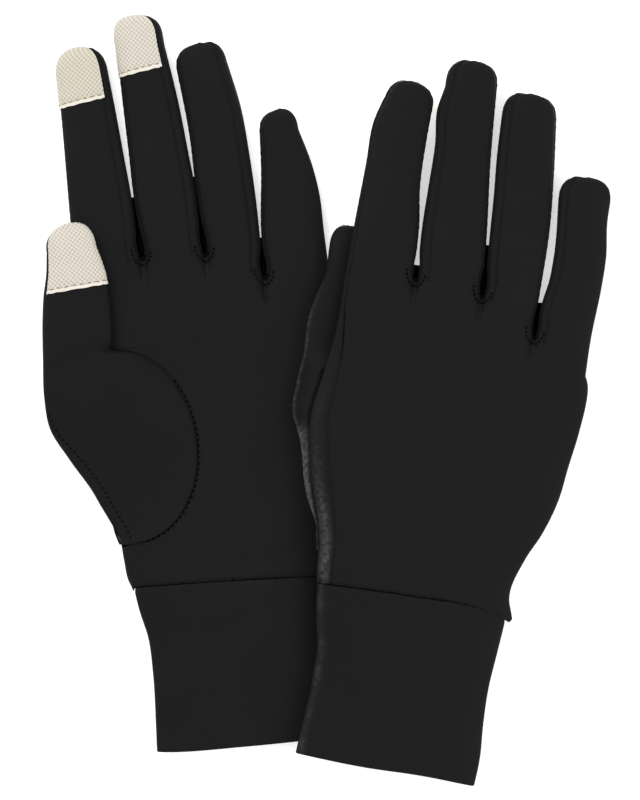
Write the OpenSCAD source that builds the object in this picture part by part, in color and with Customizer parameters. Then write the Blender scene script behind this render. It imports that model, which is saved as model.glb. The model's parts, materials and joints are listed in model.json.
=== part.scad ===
// A pair of stretch-jersey touchscreen gloves, laid flat. The left one lies palm up on the surface.
// The right one lies back up, with its thumb side on the little finger side of the left one.
// Both come from one pattern, in which a runs across from the thumb side, l runs along from the
// cuff hem and w is the height over the glove's middle layer, positive towards the palm.

/* [Fabric] */
// Thickness of the jersey
wall = 0.8; // [0.6:0.1:1.2]
// Thickness of the folded, two-ply cuff
cuff_wall = 1.3; // [1.0:0.1:1.8]
// Thickness of a touch patch
patch_wall = 0.6; // [0.4:0.1:1.0]
// Clearance under a touch patch and round an inner seam
sewn_gap = 0.05; // [0.02:0.01:0.2]
// Clearance between pieces that move apart
fold_gap = 0.3; // [0.2:0.1:0.8]

/* [Cuff] */
// Length of the cuff along its middle
cuff_l = 59; // [45:1:75]
// Width of the cuff at its hem
cuff_w = 66; // [54:1:80]
// How far the cuff draws in below the wrist on the thumb side
cuff_waist = 2.4; // [0:0.2:5]
// How much longer the cuff is on the thumb side
cuff_slant = 4; // [0:0.5:8]
// Height of the cuff as it lies
cuff_t = 8; // [7.4:0.1:10]
// Width of the overlocked wrist seam
seam_w = 1.2; // [0.8:0.1:2.4]
// How far the wrist seam stands proud
seam_rise = 0.4; // [0.2:0.1:1.0]

/* [Hand] */
// Length from the wrist seam to the crotch between the index and middle fingers
hand_l = 118; // [98:1:142]
// Width of the hand at the wrist seam
wrist_w = 68; // [58:1:82]
// How far the wrist lies towards the little finger side
wrist_shift = 2; // [0:0.5:6]
// Distance from the centre line to the widest place on the thumb side
thumb_side = 42; // [36:1:52]
// Distance from the centre line to the widest place on the little finger side
little_side = 54.4; // [50:0.2:66]
// Distance from the centre line to the outer side of the index finger
index_edge = 34.4; // [30:0.2:40]
// Height of the hand and fingers as they lie
hand_t = 7.2; // [6.8:0.1:9]
// How much nearer the wrist the little finger's crotch is
little_drop = 14; // [8:1:20]

/* [Fingers] */
// Width of the index finger at its fold
index_w = 22.4; // [18:0.2:27]
// Width of the middle finger at its fold
middle_w = 22.4; // [18:0.2:27]
// Width of the ring finger at its fold
ring_w = 20.8; // [17:0.2:26]
// Width of the little finger at its fold
little_w = 21.6; // [17:0.2:26]
// Width of the index fingertip
index_tip_w = 18.4; // [15:0.2:22]
// Width of the middle fingertip
middle_tip_w = 17.6; // [15:0.2:22]
// Width of the ring fingertip
ring_tip_w = 18; // [15:0.2:22]
// Width of the little fingertip
little_tip_w = 14.6; // [12:0.2:19]
// Length of the index finger from its crotch to its fold
index_root = 19; // [17:1:24]
// Length of the middle finger from its crotch to its fold
middle_root = 24; // [17:1:28]
// Length of the ring finger from the middle crotch to its fold
ring_root = 24; // [17:1:28]
// Length of the little finger from its crotch to its fold
little_root = 15; // [11:1:20]
// Length of the index finger beyond its fold
index_l = 58; // [46:1:72]
// Length of the middle finger beyond its fold
middle_l = 61; // [48:1:76]
// Length of the ring finger beyond its fold
ring_l = 48; // [38:1:62]
// Length of the little finger beyond its fold
little_l = 43; // [34:1:54]
// Angle round the finger, from its side, to a fourchette's seam
side_angle = 50; // [35:1:60]

/* [Thumb] */
// Length of the thumb beyond its crotch
thumb_l = 46.8; // [38:0.2:49]
// Width of the thumb at its crotch
thumb_w = 24.4; // [20:0.2:27]
// Width of the thumb's tip
thumb_tip_w = 20.6; // [17:0.2:23]
// Height of the thumb as it lies
thumb_t = 6.8; // [6.4:0.1:8.5]
// Distance from the centre line to the thumb's crotch
thumb_crotch = 27; // [22:0.5:32]
// How far the thumb leans back towards the hand
thumb_lean = 4; // [0:1:10]
// Length of the gusset's opening in the palm
gusset_l = 68; // [56:1:76]
// Width of the gusset's opening beyond the thumb's crotch
gusset_w = 25.2; // [18:0.2:32]
// Distance from the wrist seam to the lower end of the gusset
gusset_start = 17.8; // [12:0.2:30]

/* [Touch patches] */
// Length of the index finger's patch
index_patch_l = 19.6; // [14:0.2:24]
// Length of the middle finger's patch
middle_patch_l = 20; // [14:0.2:24]
// Length of the thumb's patch
thumb_patch_l = 23; // [16:0.2:27]

/* [Lie of the pair] */
// Place across of the left cuff hem's middle
left_x = -24.4; // [-40:0.1:0]
// Place along of the left cuff hem's middle
left_y = -123.5; // [-160:0.1:-80]
// Turn of the left glove, anticlockwise
left_turn = 8.7; // [0:0.1:12]
// Place across of the right cuff hem's middle
right_x = 24.3; // [15:0.1:60]
// Place along of the right cuff hem's middle
right_y = -132.1; // [-160:0.1:-80]
// Turn of the right glove, anticlockwise
right_turn = -7; // [-12:0.1:0]
// Share of its length that the right glove keeps where it lies slightly gathered
right_gather = 0.966; // [0.92:0.002:1]
// Slope of the right glove from its little finger side up over the left glove
roll = 0.155; // [0.15:0.001:0.2]
// Slope that is left at the fingertips
tip_roll = 0.05; // [0.02:0.01:0.15]

/* [Hidden] */
LEFT = 0;
RIGHT = 1;
SIDES = ["left", "right"];
FINGERS = ["index", "middle", "ring", "little"];
finger_w = [index_w, middle_w, ring_w, little_w];
tip_w = [index_tip_w, middle_tip_w, ring_tip_w, little_tip_w];
finger_l = [index_l, middle_l, ring_l, little_l];
patch_l = [index_patch_l, middle_patch_l];
finger_lean = [1, 0, -1, 1];

// Crotches and folds, along the glove
crotch_l = cuff_l + hand_l;
little_crotch = crotch_l - little_drop;
ring_crotch = crotch_l - 3;
crotches = [crotch_l, ring_crotch, little_crotch];
folds = [crotch_l + index_root, crotch_l + middle_root, crotch_l + ring_root, little_crotch + little_root];

// Boundaries between the fingers, across the glove
bounds = [for (k = 0, a = -index_edge; k <= 4; a = a + (k < 4 ? finger_w[k] : 0), k = k + 1) a];
knuckle_w = bounds[4] - bounds[0];
round_p = 2.4;      // roundness of an edge, 2 for an ellipse
flat_p = 4;         // the same at the knuckles, where the hand is flatter
press = 1.06;       // how far a swell is pressed flat against the surface, 1 for not at all
round_angles = [22, 42, 60, 75, 86];
half_t = hand_t / 2;

// The gusset's opening and the thumb above the palm
gusset_mid = cuff_l + gusset_start + gusset_l / 2;
thumb_base = cuff_l + gusset_start + gusset_l + 1.2;
thumb_w0 = half_t + fold_gap + thumb_t / 2;
thumb_mid = -thumb_crotch - thumb_w / 2;

// Lie of each glove
turn = [left_turn, right_turn];
place_x = [left_x, right_x];
place_y = [left_y, right_y];
gather = [1, right_gather];

black = "#1f1f20";
black_light = "#2a2a2b";
cream = "#e2dacb";

function mix(a, b, t) = a + (b - a) * t;
function clamp(t) = max(0, min(1, t));
function smooth(t) = let (c = clamp(t)) c * c * (3 - 2 * c);
function signed_pow(x, q) = sign(x) * pow(abs(x), q);
function lens(u, p) = pow(max(0, 1 - pow(abs(u), p)), 1 / p);
function steps(a, b, n) = [for (i = [0:n]) mix(a, b, i / n)];

// Share of the way from the wrist seam to the crotches
function hand_share(l) = (l - cuff_l) / hand_l;

// The hand's outline on the thumb side and on the little finger side
function thumb_edge(l) = -lookup(hand_share(l), [
    [0, wrist_w / 2 - wrist_shift],
    [0.15, mix(wrist_w / 2 - wrist_shift, thumb_side, 0.15)],
    [0.4, thumb_side - 2],
    [0.54, thumb_side],
    [0.7, mix(thumb_side, index_edge, 0.35)],
    [0.92, mix(thumb_side, index_edge, 0.8)],
    [1.12, index_edge]
]);
function little_edge(l) = lookup(hand_share(l), [
    [0, wrist_w / 2 + wrist_shift],
    [0.25, mix(wrist_w / 2 + wrist_shift, little_side, 0.5)],
    [0.46, mix(wrist_w / 2 + wrist_shift, little_side, 0.82)],
    [0.71, little_side],
    [1, knuckle_w - index_edge]
]);

// Height that the right glove's lie adds at a place on it
function lie_roll(l) = mix(roll, tip_roll, smooth((l - crotch_l) / (folds[1] + middle_l - crotch_l)));
function lie(side, a, l) = side == LEFT ? 0 : lie_roll(l) * (little_edge(l) - a);

// A place on the pattern, in the pair's own frame, where the surface underneath stops any sag
function at(side, a, l, w) = let (run = l * gather[side]) [
    place_x[side] + a * cos(turn[side]) - run * sin(turn[side]),
    place_y[side] + a * sin(turn[side]) + run * cos(turn[side]),
    max(0, half_t + (side == LEFT ? w : -w) + lie(side, a, l))
];

// The wrist line, from the thumb side to the little finger side
function wrist_at(a) = cuff_l + cuff_slant * (0.5 - clamp((a + wrist_w / 2 - wrist_shift) / wrist_w));

// A place on a rounded band of half width h and half height t, at an angle round it
function band(mid, h, t, angle) = [
    mid + h * signed_pow(cos(angle), 2 / round_p),
    t * signed_pow(sin(angle), 2 / round_p)
];

// Two triangles for four corners
function quad(a, b, c, d, flip) = flip ? [[a, c, b], [a, d, c]] : [[a, b, c], [a, c, d]];

// A sheet of fabric between two grids of places, open or wrapped round into a tube
module sheet(outer, inner, wrap, flip) {
    m = len(outer);
    n = len(outer[0]);
    layer = m * n;
    last = wrap ? n - 1 : n - 2;
    faces = concat(
        [for (i = [0:m - 2], j = [0:last]) let (k = (j + 1) % n, a = i * n, b = a + n)
            each quad(a + j, a + k, b + k, b + j, flip)],
        [for (i = [0:m - 2], j = [0:last]) let (k = (j + 1) % n, a = i * n + layer, b = a + n)
            each quad(a + j, a + k, b + k, b + j, !flip)],
        [for (j = [0:last]) let (k = (j + 1) % n)
            each quad(layer + j, layer + k, k, j, flip)],
        [for (j = [0:last]) let (k = (j + 1) % n, a = (m - 1) * n)
            each quad(a + j, a + k, layer + a + k, layer + a + j, flip)],
        wrap ? [] : [for (i = [0:m - 2]) let (a = i * n, b = a + n)
            each quad(a, b, layer + b, layer + a, flip)],
        wrap ? [] : [for (i = [0:m - 2]) let (a = i * n + n - 1, b = a + n)
            each quad(layer + a, layer + b, b, a, flip)]
    );
    polyhedron(concat([for (row = outer) each row], [for (row = inner) each row]), faces, convexity = 6);
}

// Cuff: one strip folded double at the hem, drawn as one thick tube
function cuff_left(l) = -lookup(l, [
    [0, cuff_w / 2],
    [cuff_l * 0.55, cuff_w / 2 - cuff_waist],
    [cuff_l, wrist_w / 2 - wrist_shift - 1]
]);
function cuff_right(l) = lookup(l, [
    [0, cuff_w / 2],
    [cuff_l, wrist_w / 2 + wrist_shift - 2]
]);
cuff_angles = steps(0, 360 - 360 / 30, 29);
function cuff_row(side, share, inset) = [for (angle = cuff_angles) let (
    end = cuff_l * share,
    mid = (cuff_left(end) + cuff_right(end)) / 2,
    half = (cuff_right(end) - cuff_left(end)) / 2 - inset,
    p = band(mid, half, cuff_t / 2 - inset, angle),
    l = share * (wrist_at(p[0]) - seam_w / 2)
) at(side, p[0], l, p[1])];
module cuff(side) {
    rows = steps(0, 1, 5);
    color(black) sheet(
        [for (t = rows) cuff_row(side, t, 0)], [for (t = rows) cuff_row(side, t, cuff_wall)],
        true, side == RIGHT);
}

// Overlocked seam between the cuff and the hand
function seam_row(side, shift, inset) = [for (angle = cuff_angles) let (
    mid = (thumb_edge(cuff_l) + little_edge(cuff_l)) / 2,
    p = band(mid, wrist_w / 2 - inset, cuff_t / 2 - inset, angle)
) at(side, p[0], wrist_at(p[0]) + shift, p[1])];
module wrist_seam(side) {
    inner = [for (t = [-0.5, 0.5]) seam_row(side, t * (seam_w - sewn_gap), cuff_wall)];
    outer = [for (t = [-0.5, 0.5]) seam_row(side, t * (seam_w - sewn_gap), -seam_rise)];
    color(black_light) sheet(outer, inner, true, side == RIGHT);
}

// A place on the hand's outer or inner face: face is 1 on the palm and -1 on the back
function hand_at(side, face, a, l, inset) = let (
    mid = (thumb_edge(l) + little_edge(l)) / 2,
    half = (little_edge(l) - thumb_edge(l)) / 2,
    u = max(-1, min(1, (a - mid) / half)),
    p = mix(round_p, flat_p, smooth(hand_share(l)))
) at(side, mid + (half - inset) * u, l, face * (half_t - inset) * min(1, press * lens(u, p)));

// Shares across the hand, with two close ones at each boundary between fingers
step_gap = 0.3 / knuckle_w;
function share_of(k) = (bounds[k] - bounds[0]) / knuckle_w;
hand_shares = [0, 0.012, 0.045, 0.13,
    share_of(1) - step_gap, share_of(1) + step_gap, mix(share_of(1), share_of(2), 0.5),
    share_of(2) - step_gap, share_of(2) + step_gap, mix(share_of(2), share_of(3), 0.5),
    share_of(3) - step_gap, share_of(3) + step_gap, 0.88, 0.955, 0.988, 1];
function finger_at_share(s) = s < share_of(1) ? 0 : s < share_of(2) ? 1 : s < share_of(3) ? 2 : 3;
function hand_top(s) = folds[finger_at_share(s)] - fold_gap / 2;

// Rows below the fingers have one length each, and those above run up to the folds
hand_low = cuff_l + gusset_start - 0.2;
hand_high = thumb_base + 3;
loop_angles = [5, 14, 28, 44, 60, 76, 90, 104, 120, 136, 152, 166, 175];
function loop_l(angle) = gusset_mid - gusset_l / 2 * cos(angle);
function loop_a(angle) = -thumb_crotch + gusset_w * sin(angle);
function row_below(side, face, l, start, inset) = [for (s = hand_shares)
    hand_at(side, face, mix(start, little_edge(l), s), l, inset)];
function row_wrist(side, face, inset) = [for (s = hand_shares) let (
    a = mix(thumb_edge(cuff_l), little_edge(cuff_l), s)
) hand_at(side, face, a, wrist_at(a) + seam_w / 2, inset)];
function row_above(side, face, t, inset) = [for (s = hand_shares) let (
    l = mix(hand_high, hand_top(s), t)
) hand_at(side, face, mix(thumb_edge(l), little_edge(l), s), l, inset)];
function hand_rows(side, face, inset, cut) = concat(
    [row_wrist(side, face, inset)],
    [for (l = [mix(cuff_l, hand_low, 0.55), hand_low]) row_below(side, face, l, thumb_edge(l), inset)],
    cut
        ? [for (angle = loop_angles) row_below(side, face, loop_l(angle), loop_a(angle), inset)]
        : [for (t = [0.2, 0.4, 0.6, 0.8]) let (l = mix(hand_low, thumb_base, t))
            row_below(side, face, l, thumb_edge(l), inset)],
    [for (l = [thumb_base - 0.9, hand_high]) row_below(side, face, l, thumb_edge(l), inset)],
    [for (t = [0.35, 0.7, 1]) row_above(side, face, t, inset)]
);
module palm_panel(side) {
    color(black) sheet(
        hand_rows(side, 1, 0, true), hand_rows(side, 1, wall, true), false, side == LEFT);
}
module back_panel(side) {
    color(black) sheet(
        hand_rows(side, -1, 0, false), hand_rows(side, -1, wall, false), false, side == RIGHT);
}

// Fourchette wall between two fingers, from their crotch to the nearer fold
function wall_row(side, k, l, inset) = let (
    rise = (half_t - wall - sewn_gap) * 0.97
) [for (w = [-rise, rise]) at(side, bounds[k] + inset, l, w)];
module fourchette(side, k) {
    top = min(folds[k - 1], folds[k]) - fold_gap / 2;
    rows = steps(crotches[k - 1], top, 3);
    color(black_light) sheet(
        [for (l = rows) wall_row(side, k, l, wall)], [for (l = rows) wall_row(side, k, l, -wall)],
        false, side == LEFT);
}

// Set-in gusset that carries the thumb: over the palm, round the outer side and back to the hand
function gusset_out(l) = let (t = (l - cuff_l - gusset_start) / gusset_l) lookup(t, [
    [0, thumb_edge(cuff_l + gusset_start) - 2],
    [0.25, thumb_mid - thumb_w / 2 + 9.6],
    [0.45, thumb_mid - thumb_w / 2 + 3],
    [0.65, thumb_mid - thumb_w / 2 - 1.6],
    [0.8, thumb_mid - thumb_w / 2 - 1.6],
    [1, thumb_mid - thumb_w / 2]
]);
function gusset_row(side, l, loop, inset) = let (
    t = clamp((l - cuff_l - gusset_start) / gusset_l),
    out = min(gusset_out(l), thumb_edge(l) - 2),
    right_w = mix(half_t * 0.94, thumb_w0, smooth((t - 0.9) / 0.1)),
    left_w = thumb_w0 * smooth(t),
    rise = mix(wall + 0.4, thumb_t / 2, smooth(t)),
    mid = (loop + out) / 2,
    half = (loop - out) / 2 - inset,
    lip_a = thumb_edge(l) - fold_gap,
    lip_w = fold_gap + inset
) concat(
    [for (angle = steps(0, 180, 12)) let (p = band(mid, half, rise - inset, angle))
        at(side, p[0], l, p[1] + mix(right_w, left_w, (1 - cos(angle)) / 2))],
    [for (t = [0.5, 1]) at(side, mix(out + inset, lip_a, t), l, mix(left_w, lip_w, t))]
);
gusset_angles = [for (angle = loop_angles) if (angle >= 14 && angle <= 166) angle];
function gusset_rows(side, inset) = concat(
    [for (angle = gusset_angles) gusset_row(side, loop_l(angle), loop_a(angle) - fold_gap, inset)],
    [gusset_row(side, thumb_base - fold_gap / 2, -thumb_crotch, inset)]
);
module thumb_gusset(side) {
    color(black) sheet(gusset_rows(side, 0), gusset_rows(side, wall), false, side == RIGHT);
}

// A row round a digit with a rounded end: width, height and place along at one station
function digit_row(side, angles, base, tip, w0, w1, t, mid, lean, lift_w, station, off) = let (
    reach = w1 / 2,
    straight = tip - reach,
    round = station > 1,
    phi = round ? round_angles[station - 2] : 0,
    l = round ? straight + (reach + off) * sin(phi) : mix(base, straight, station),
    taper = clamp((l - base) / (straight - base)),
    half = (mix(w0, w1, taper) / 2 + off) * cos(phi),
    high = (t / 2 + off) * cos(phi),
    centre = mid + (l - base) * tan(lean)
) [for (angle = angles) let (p = band(centre, half, high, angle)) at(side, p[0], l, p[1] + lift_w)];
round_stations = [for (i = [0:len(round_angles) - 1]) i + 2];

function finger_row(side, k, angles, station, off) = digit_row(
    side, angles, folds[k] + fold_gap / 2, folds[k] + finger_l[k],
    finger_w[k] - 2 * fold_gap, tip_w[k], hand_t, (bounds[k] + bounds[k + 1]) / 2,
    finger_lean[k], 0, station, off);
finger_stations = concat([0, 0.35, 0.7, 1], round_stations);
module finger_strip(side, k, from, to, n) {
    angles = steps(from, to, n);
    sheet(
        [for (s = finger_stations) finger_row(side, k, angles, s, 0)],
        [for (s = finger_stations) finger_row(side, k, angles, s, -wall)],
        false, side == RIGHT);
}

// The index and little fingers have no fourchette on their outer sides
function seam_right(k) = k < 3 ? side_angle : 0;
function seam_left(k) = k > 0 ? side_angle : 0;
module finger_palm(side, k) {
    color(black) finger_strip(side, k, seam_right(k), 180 - seam_left(k), 8);
}
module finger_back(side, k) {
    color(black) finger_strip(side, k, 180 + seam_left(k), 360 - seam_right(k), 8);
}
module finger_sides(side, k) {
    color(black_light) {
        if (seam_right(k) > 0) finger_strip(side, k, -side_angle, side_angle, 6);
        if (seam_left(k) > 0) finger_strip(side, k, 180 - side_angle, 180 + side_angle, 6);
    }
}

// Conductive patch over the palm side of a fingertip
module finger_patch(side, k) {
    straight = finger_l[k] - fold_gap / 2 - tip_w[k] / 2;
    start = 1 - (patch_l[k] - tip_w[k] / 2) / straight;
    stations = concat([start, 1], round_stations);
    angles = steps(0, 180, 12);
    color(cream) sheet(
        [for (s = stations) finger_row(side, k, angles, s, sewn_gap + patch_wall)],
        [for (s = stations) finger_row(side, k, angles, s, sewn_gap)],
        false, side == RIGHT);
}

// Thumb and its patch, above the palm
thumb_start = thumb_base + fold_gap / 2;
function thumb_row(side, angles, station, off) = digit_row(
    side, angles, thumb_start, thumb_base + thumb_l, thumb_w, thumb_tip_w, thumb_t,
    thumb_mid, thumb_lean, thumb_w0, station, off);
module thumb(side) {
    stations = concat([0, 0.5, 1], round_stations);
    angles = steps(0, 360 - 360 / 24, 23);
    color(black) sheet(
        [for (s = stations) thumb_row(side, angles, s, 0)],
        [for (s = stations) thumb_row(side, angles, s, -wall)],
        true, side == RIGHT);
}
module thumb_patch(side) {
    straight = thumb_l - fold_gap / 2 - thumb_tip_w / 2;
    start = 1 - (thumb_patch_l - thumb_tip_w / 2) / straight;
    stations = concat([start, 1], round_stations);
    angles = steps(0, 180, 12);
    color(cream) sheet(
        [for (s = stations) thumb_row(side, angles, s, sewn_gap + patch_wall)],
        [for (s = stations) thumb_row(side, angles, s, sewn_gap)],
        false, side == RIGHT);
}

// The pieces of one glove, by the names that follow its side
HAND_PIECES = ["cuff", "wrist_seam", "palm_panel", "back_panel", "thumb_gusset",
    "index_middle_fourchette", "middle_ring_fourchette", "ring_little_fourchette",
    "thumb", "thumb_patch"];

module hand_piece(side, piece) {
    if (piece == "cuff") cuff(side);
    if (piece == "wrist_seam") wrist_seam(side);
    if (piece == "palm_panel") palm_panel(side);
    if (piece == "back_panel") back_panel(side);
    if (piece == "thumb_gusset") thumb_gusset(side);
    if (piece == "index_middle_fourchette") fourchette(side, 1);
    if (piece == "middle_ring_fourchette") fourchette(side, 2);
    if (piece == "ring_little_fourchette") fourchette(side, 3);
    if (piece == "thumb") thumb(side);
    if (piece == "thumb_patch") thumb_patch(side);
}

for (side = [LEFT, RIGHT]) {
    for (piece = HAND_PIECES) {
        hand_piece(side, piece);
    }
    for (k = [0:3]) {
        finger_palm(side, k);
        finger_back(side, k);
        finger_sides(side, k);
    }
    for (k = [0:1]) {
        finger_patch(side, k);
    }
}
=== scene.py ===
"""A pair of black stretch-jersey touchscreen gloves, laid flat: the left palm up, the right back up.

Both gloves are cut from one pattern. Its lengths are in millimetres: a runs across from the thumb side, l runs
along from the cuff hem and w is the height over the glove's middle layer, positive towards the palm.
"""
import json
import logging
import math
from dataclasses import dataclass, field
from enum import Enum
from typing import Callable, Sequence

import bpy
import numpy as np
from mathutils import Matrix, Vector


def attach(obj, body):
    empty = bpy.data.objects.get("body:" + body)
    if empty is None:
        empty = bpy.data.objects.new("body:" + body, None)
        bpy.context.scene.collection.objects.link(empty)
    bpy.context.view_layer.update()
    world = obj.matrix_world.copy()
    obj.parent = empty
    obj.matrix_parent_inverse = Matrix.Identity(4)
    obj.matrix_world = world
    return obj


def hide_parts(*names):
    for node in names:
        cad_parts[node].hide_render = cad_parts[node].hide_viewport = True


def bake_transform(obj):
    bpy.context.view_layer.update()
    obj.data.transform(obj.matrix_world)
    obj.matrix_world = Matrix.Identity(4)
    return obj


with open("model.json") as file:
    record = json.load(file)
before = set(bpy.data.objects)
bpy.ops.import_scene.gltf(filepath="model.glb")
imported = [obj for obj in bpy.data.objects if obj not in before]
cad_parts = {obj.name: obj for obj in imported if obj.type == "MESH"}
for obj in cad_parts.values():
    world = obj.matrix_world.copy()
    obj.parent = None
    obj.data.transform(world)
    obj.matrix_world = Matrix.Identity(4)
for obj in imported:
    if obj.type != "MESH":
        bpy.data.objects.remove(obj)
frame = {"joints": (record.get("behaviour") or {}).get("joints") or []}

LOG = logging.getLogger("gloves")
MM = 0.001
HIDDEN_SEAM_ANGLE = 34.0  # degrees from a finger's edge up to a seam on the face that lies down
Array = np.ndarray
Keys = Sequence[tuple[float, float]]


class Side(Enum):
    """Which hand a glove is for."""

    LEFT = "left"
    RIGHT = "right"


class Slot(Enum):
    """The record's material slots."""

    JERSEY = "jersey"
    TOUCH = "touch_knit"
    THREAD = "seam_thread"


# ---------------------------------------------------------------- curves and numbers


def smooth(t: Array) -> Array:
    """A smooth step from 0 to 1.

    Args:
        t: Share of the way, clipped to 0 and 1.

    Returns:
        The eased share.
    """
    c = np.clip(t, 0.0, 1.0)
    return c * c * (3 - 2 * c)


def mix(a: Array, b: Array, t: Array) -> Array:
    """The value at share t of the way from a to b."""
    return a + (b - a) * t


def curve(keys: Keys, x: Array) -> Array:
    """A smooth curve through a few points.

    Args:
        keys: (place, value) pairs, in order of place.
        x: Places to read the curve at.

    Returns:
        The curve's values, held at its ends outside the keys.
    """
    px = np.array([k[0] for k in keys])
    py = np.array([k[1] for k in keys])
    slope = np.gradient(py, px)
    x = np.clip(x, px[0], px[-1])
    i = np.clip(np.searchsorted(px, x, side="right") - 1, 0, len(px) - 2)
    span = px[i + 1] - px[i]
    t = (x - px[i]) / span
    h00 = (1 + 2 * t) * (1 - t) ** 2
    h10 = t * (1 - t) ** 2
    h01 = t * t * (3 - 2 * t)
    h11 = t * t * (t - 1)
    return h00 * py[i] + h10 * span * slope[i] + h01 * py[i + 1] + h11 * span * slope[i + 1]


def lens(u: Array, p: Array) -> Array:
    """Height of a rounded band, from 1 in its middle to 0 at its edges.

    Args:
        u: Place across the band, from -1 to 1.
        p: Roundness, 2 for an ellipse and more for a flatter band.

    Returns:
        The height there.
    """
    return np.maximum(0.0, 1 - np.abs(u) ** p) ** (1 / p)


def power(x: Array, q: float) -> Array:
    """x to a power, with its sign kept."""
    return np.sign(x) * np.abs(x) ** q


def ripple(a: Array, l: Array, seed: float) -> Array:
    """Soft, uneven waves over the cloth.

    Args:
        a: Places across, in millimetres.
        l: Places along, in millimetres.
        seed: Phase that tells one glove from the other.

    Returns:
        Values from about -1 to 1.
    """
    bend = 2.2 * np.sin(l / 31 + seed) + 1.7 * np.sin(a / 19 - seed)
    slow = np.sin((a * 0.8 + l * 0.35) / 13 + bend + seed)
    mid = np.sin((a * 0.5 - l * 0.75) / 7.3 + bend * 0.8 + 2 * seed)
    fast = np.sin((a * 0.3 + l) / 4.1 - bend + 3 * seed)
    return 0.55 * slow + 0.3 * mid + 0.15 * fast


# ---------------------------------------------------------------- the pattern


@dataclass(frozen=True)
class FingerCut:
    """Outline of one finger, in the pattern's millimetres.

    Args:
        name: The finger's name.
        left: (l, a) points of its edge on the thumb side.
        right: (l, a) points of its edge on the little finger side.
        tip: (l, a) of its tip.
        blunt: Squareness of the tip, 2 for a round one.
        crotches: l of the crotch on either side of it.
        seams: Angle in degrees from either edge up to the fourchette's seam on the face that shows, 0 for none.
    """

    name: str
    left: Keys
    right: Keys
    tip: tuple[float, float]
    blunt: float
    crotches: tuple[float, float]
    seams: tuple[float, float]


@dataclass(frozen=True)
class ThumbCut:
    """Outline of the set-in thumb with its gusset, in the pattern's millimetres."""

    outer: Keys
    inner: Keys
    tip: tuple[float, float]
    blunt: float = 2.3
    loop_middle: float = 110.8
    loop_half: float = 34.0
    loop_depth: float = 25.2
    crotch: tuple[float, float] = (145.0, -27.0)
    base: float = 146.0
    swell: float = 3.4
    height: float = 7.3


@dataclass(frozen=True)
class Pattern:
    """One glove's cut and how it lies."""

    side: Side
    fingers: tuple[FingerCut, ...]
    thumb: ThumbCut
    thumb_side: Keys
    little_side: Keys
    wrist: Keys
    cuff_left: Keys
    cuff_right: Keys
    hem: Keys
    seed: float
    wall: float = 0.8
    half_height: float = 3.6
    cuff_half: float = 3.9
    cuff_ply: float = 0.65
    roundness: float = 2.4
    knuckle_roundness: float = 4.0
    press: float = 1.06
    hand_range: tuple[float, float] = (59.0, 177.0)
    valley: float = 15.0
    wrap: Keys = ((58.0, 4.0), (80.0, 5.4), (120.0, 6.4), (150.0, 4.6), (168.0, 1.6))
    folds: tuple[float, ...] = (196.0, 201.0, 201.0, 178.0)
    middle_fold_at: tuple[float, float] = (-0.8, 201.0)
    gap_starts: tuple[float, float, float] = (198.0, 202.0, 177.0)
    gather: float = 1.0
    roll: float = 0.0
    tip_roll: float = 0.0
    drop_from: float = 177.0
    drop_to: float = 262.0


LEFT_FINGERS = (
    FingerCut("index", ((165, -36.0), (196, -34.3), (231, -32.0), (247, -31.2)),
              ((172, -11.7), (176, -12.2), (179, -12.7), (188, -12.1), (198, -11.9), (212, -12.3), (231, -12.9),
               (247, -13.6)),
              (253.0, -22.4), 2.4, (167.6, 176.4), (14, 50)),
    FingerCut("middle", ((172, -11.0), (176, -10.5), (179, -10.0), (188, -10.6), (200, -10.9), (212, -10.4),
                         (230, -9.8), (250, -9.0)),
              ((170, 10.8), (174, 10.3), (177, 9.8), (186, 10.4), (200, 10.9), (210, 10.5), (230, 9.6), (250, 7.8)),
              (261.2, -1.6), 2.8, (176.4, 174.3), (16, 50)),
    FingerCut("ring", ((170, 11.2), (174, 11.7), (177, 12.2), (186, 11.6), (200, 11.4), (215, 11.9), (243, 10.9)),
              ((158, 30.2), (163, 29.9), (166, 29.4), (174, 30.8), (180, 31.2), (207, 31.8), (224, 31.3),
               (241, 28.8)),
              (248.4, 20.6), 2.5, (174.3, 163.0), (16, 50)),
    FingerCut("little", ((158, 30.9), (163, 31.4), (166, 31.9), (174, 31.6), (180, 32.0), (187, 33.0), (199, 35.0),
                         (216, 37.0)),
              ((150, 53.4), (176, 54.0), (189, 54.4), (200, 53.3), (213, 50.4)),
              (221.0, 44.6), 2.2, (163.0, 151.6), (16, 30)),
)
RIGHT_FINGERS = (
    FingerCut("index", ((165, -36.1), (196, -34.7), (219, -33.2), (235, -32.3), (245, -29.4)),
              ((175, -11.2), (179.5, -11.7), (182, -12.1), (190, -11.9), (199, -12.1), (212, -13.4), (232, -13.1),
               (245, -12.3)),
              (251.2, -21.4), 2.3, (169.0, 179.5), (22, 10)),
    FingerCut("middle", ((175, -10.8), (179.5, -10.3), (182, -10.1), (190, -10.8), (200, -10.9), (214, -10.4),
                         (230, -9.9), (242, -10.6), (251, -8.8)),
              ((172, 13.0), (176.5, 12.5), (179, 12.0), (188, 12.5), (200, 12.0), (225, 10.3), (251, 9.4)),
              (261.4, 0.2), 2.6, (179.5, 176.5), (50, 10)),
    FingerCut("ring", ((172, 13.3), (176.5, 13.8), (179, 14.3), (188, 13.6), (200, 13.2), (212, 13.0), (228, 12.4),
                       (245, 12.4)),
              ((159, 32.9), (164, 32.7), (167, 32.3), (176, 33.1), (184, 33.5), (203, 34.1), (224, 33.2),
               (245, 31.6)),
              (252.0, 21.4), 2.7, (176.5, 164.0), (50, 10)),
    FingerCut("little", ((159, 33.5), (164, 33.9), (167, 34.3), (173, 34.2), (178, 34.9), (184, 36.1), (194, 36.8),
                         (217, 35.9)),
              ((150, 53.3), (165, 53.6), (185, 55.2), (196, 55.5), (209, 54.4), (217, 54.6)),
              (224.2, 45.4), 2.8, (164.0, 151.6), (50, 14)),
)
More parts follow.
